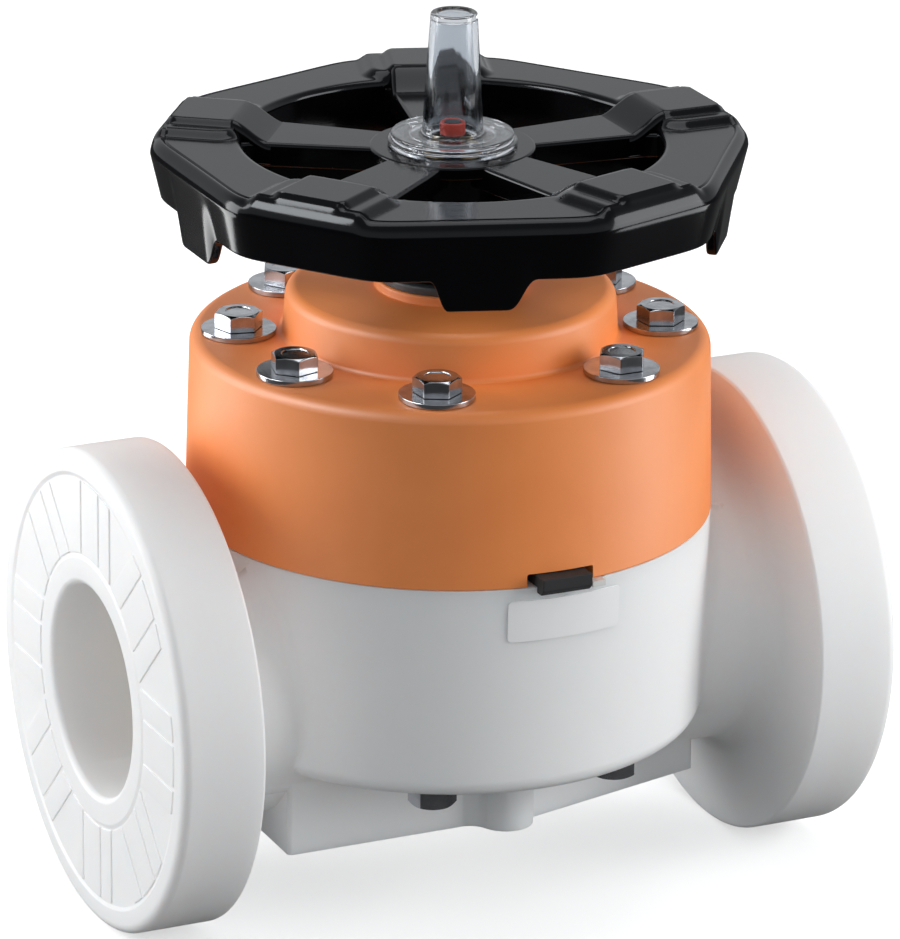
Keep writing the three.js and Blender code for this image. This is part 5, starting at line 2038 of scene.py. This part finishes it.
@dataclass
class Studio:
    """Camera, lights, floor and white background."""

    MIDDLE = (0.0, 0.0, 0.06)
    WHEEL_EDGE = (-0.11, -0.06, 0.235)
    BOXES = (
        Lamp("LeftBox", (-1.34, 0.86, 0.45), MIDDLE, (0.8, 1.0), 18.0),
        Lamp("RightBox", (1.34, -0.86, 0.45), MIDDLE, (0.8, 1.0), 15.5),
        Lamp("TopBox", (0.1, 0.3, 1.7), MIDDLE, (1.2, 1.2), 10.0),
    )
    # white cards that only show as reflections in glossy pieces
    CARDS = (
        Lamp("HighCard", (-0.845, 0.005, 0.75), WHEEL_EDGE, (0.45, 0.42), 8.5),
        Lamp("LeftCard", (-0.46, 0.385, -0.01), WHEEL_EDGE, (0.32, 0.16), 0.8),
        Lamp("RightCard", (0.58, -0.29, -0.01), WHEEL_EDGE, (0.32, 0.16), 0.8),
    )

    azimuth: float = -0.43337
    elevation: float = 0.346554
    roll: float = 0.012867
    distance: float = 2.86072
    target: Point3 = (0.0, 0.0, 0.08136)
    nudge: Point2 = (0.000747, -0.000207)
    lens: float = 241.66
    floor: float = -0.110
    floor_bounce: float = 0.22
    floor_glow: float = 0.5
    floor_dull: float = 0.8
    sky_low: float = 0.70
    sky_high: float = 0.28
    sky_colour: Colour = (0.95, 0.98, 1.0)
    white: float = 0.9
    floor_reach: float = 40.0
    horizon: float = 0.35
    zenith: float = 0.8

    def build(self) -> None:
        """Sets up the whole studio."""
        self.camera()
        self.ground()
        for lamp in self.BOXES:
            lamp.build()
        for lamp in self.CARDS:
            card = lamp.build()
            card.visible_camera = card.visible_diffuse = card.visible_transmission = False
        self.world()
        bpy.context.scene.view_settings.view_transform = "Standard"

    def camera(self) -> None:
        """Camera at the photograph's place."""
        a, e = self.azimuth, self.elevation
        back = Vector((math.sin(a) * math.cos(e), -math.cos(a) * math.cos(e), math.sin(e)))
        right = (-back).cross(Vector(UP)).normalized()
        up = right.cross(-back)
        c, s = math.cos(self.roll), math.sin(self.roll)
        across, upward = c * right + s * up, -s * right + c * up
        place = Vector(self.target) + back * self.distance
        place += across * self.nudge[0] + upward * self.nudge[1]
        data = bpy.data.cameras.new("PhotoCamera")
        data.lens = self.lens
        data.sensor_width = 36.0
        data.clip_start, data.clip_end = 0.1, 50.0
        made = linked("PhotoCamera", data)
        turn = Matrix((across, upward, back)).transposed().to_4x4()
        made.matrix_world = Matrix.Translation(place) @ turn
        bpy.context.scene.camera = made

    def ground(self) -> None:
        """Pale floor that fades into the white background."""
        far, low = self.floor_reach, self.floor
        corners = [(-far, -far, low), (far, -far, low), (far, far, low), (-far, far, low)]
        made = mesh_object("Floor", corners, [(0, 1, 2, 3)])
        material, w, shader = new_material("FloorPaper")
        seen = self.seen(w)
        mirrored = w.add("ShaderNodeLightPath").outputs["Is Glossy Ray"]
        kept = w.scaled(mirrored, -self.floor_dull, 1.0)
        bounced = w.times(kept, self.floor_bounce)
        for key, value in (
            ("Base Color", w.mixed(seen, bounced, rgba((self.white,) * 3))),
            ("Roughness", 0.9),
            ("Emission Color", rgba((1.0, 1.0, 1.0))),
            ("Emission Strength", w.times(seen, self.floor_glow)),
        ):
            w.feed(shader.inputs[key], value)
        made.data.materials.append(material)

    @staticmethod
    def seen(w: Wiring) -> Socket:
        """One for rays that show the background: from the camera or through clear plastic."""
        path = w.add("ShaderNodeLightPath").outputs
        return w.math("MAXIMUM", path["Is Camera Ray"], path["Is Transmission Ray"])

    def world(self) -> None:
        """White to the camera; to the piece soft grey, lighter near the horizon."""
        world = bpy.data.worlds.new("Studio")
        bpy.context.scene.world = world
        world.use_nodes = True
        w = Wiring(world.node_tree)
        shade = world.node_tree.nodes["Background"]
        seen = self.seen(w)
        toward = w.add("ShaderNodeTexCoord").outputs["Generated"]
        height = w.add("ShaderNodeSeparateXYZ", {0: toward}).outputs[2]
        soft = w.ramp(height, self.horizon, self.zenith, self.sky_low, self.sky_high)
        level = w.add("ShaderNodeMapRange", {0: seen, 1: 0.0, 2: 1.0, 3: soft, 4: 1.0})
        w.feed(shade.inputs["Strength"], level.outputs[0])
        w.feed(shade.inputs["Color"], w.mixed(seen, rgba(self.sky_colour), rgba((1.0, 1.0, 1.0))))


def main() -> None:
    """Builds the valve's looks piece by piece, then the studio."""
    logging.basicConfig(level=logging.INFO, format="%(message)s")
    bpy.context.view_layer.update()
    palette = Palette()
    shop = Workshop(palette)
    body, bolts, bonnet = ValveBody(), BoltCircle(), Bonnet()
    body.build(shop, bolts)
    bonnet.build(shop, bolts)
    bolts.build(shop)
    Diaphragm().build(shop)
    RatingPlate().build(shop, body)
    Handwheel().build(shop)
    cap = IndicatorCap()
    cap.build(shop)
    cap.marks(shop)
    Collar().build(shop)
    dress_frame(palette)
    Studio().build()


if __name__ == "__main__":
    main()
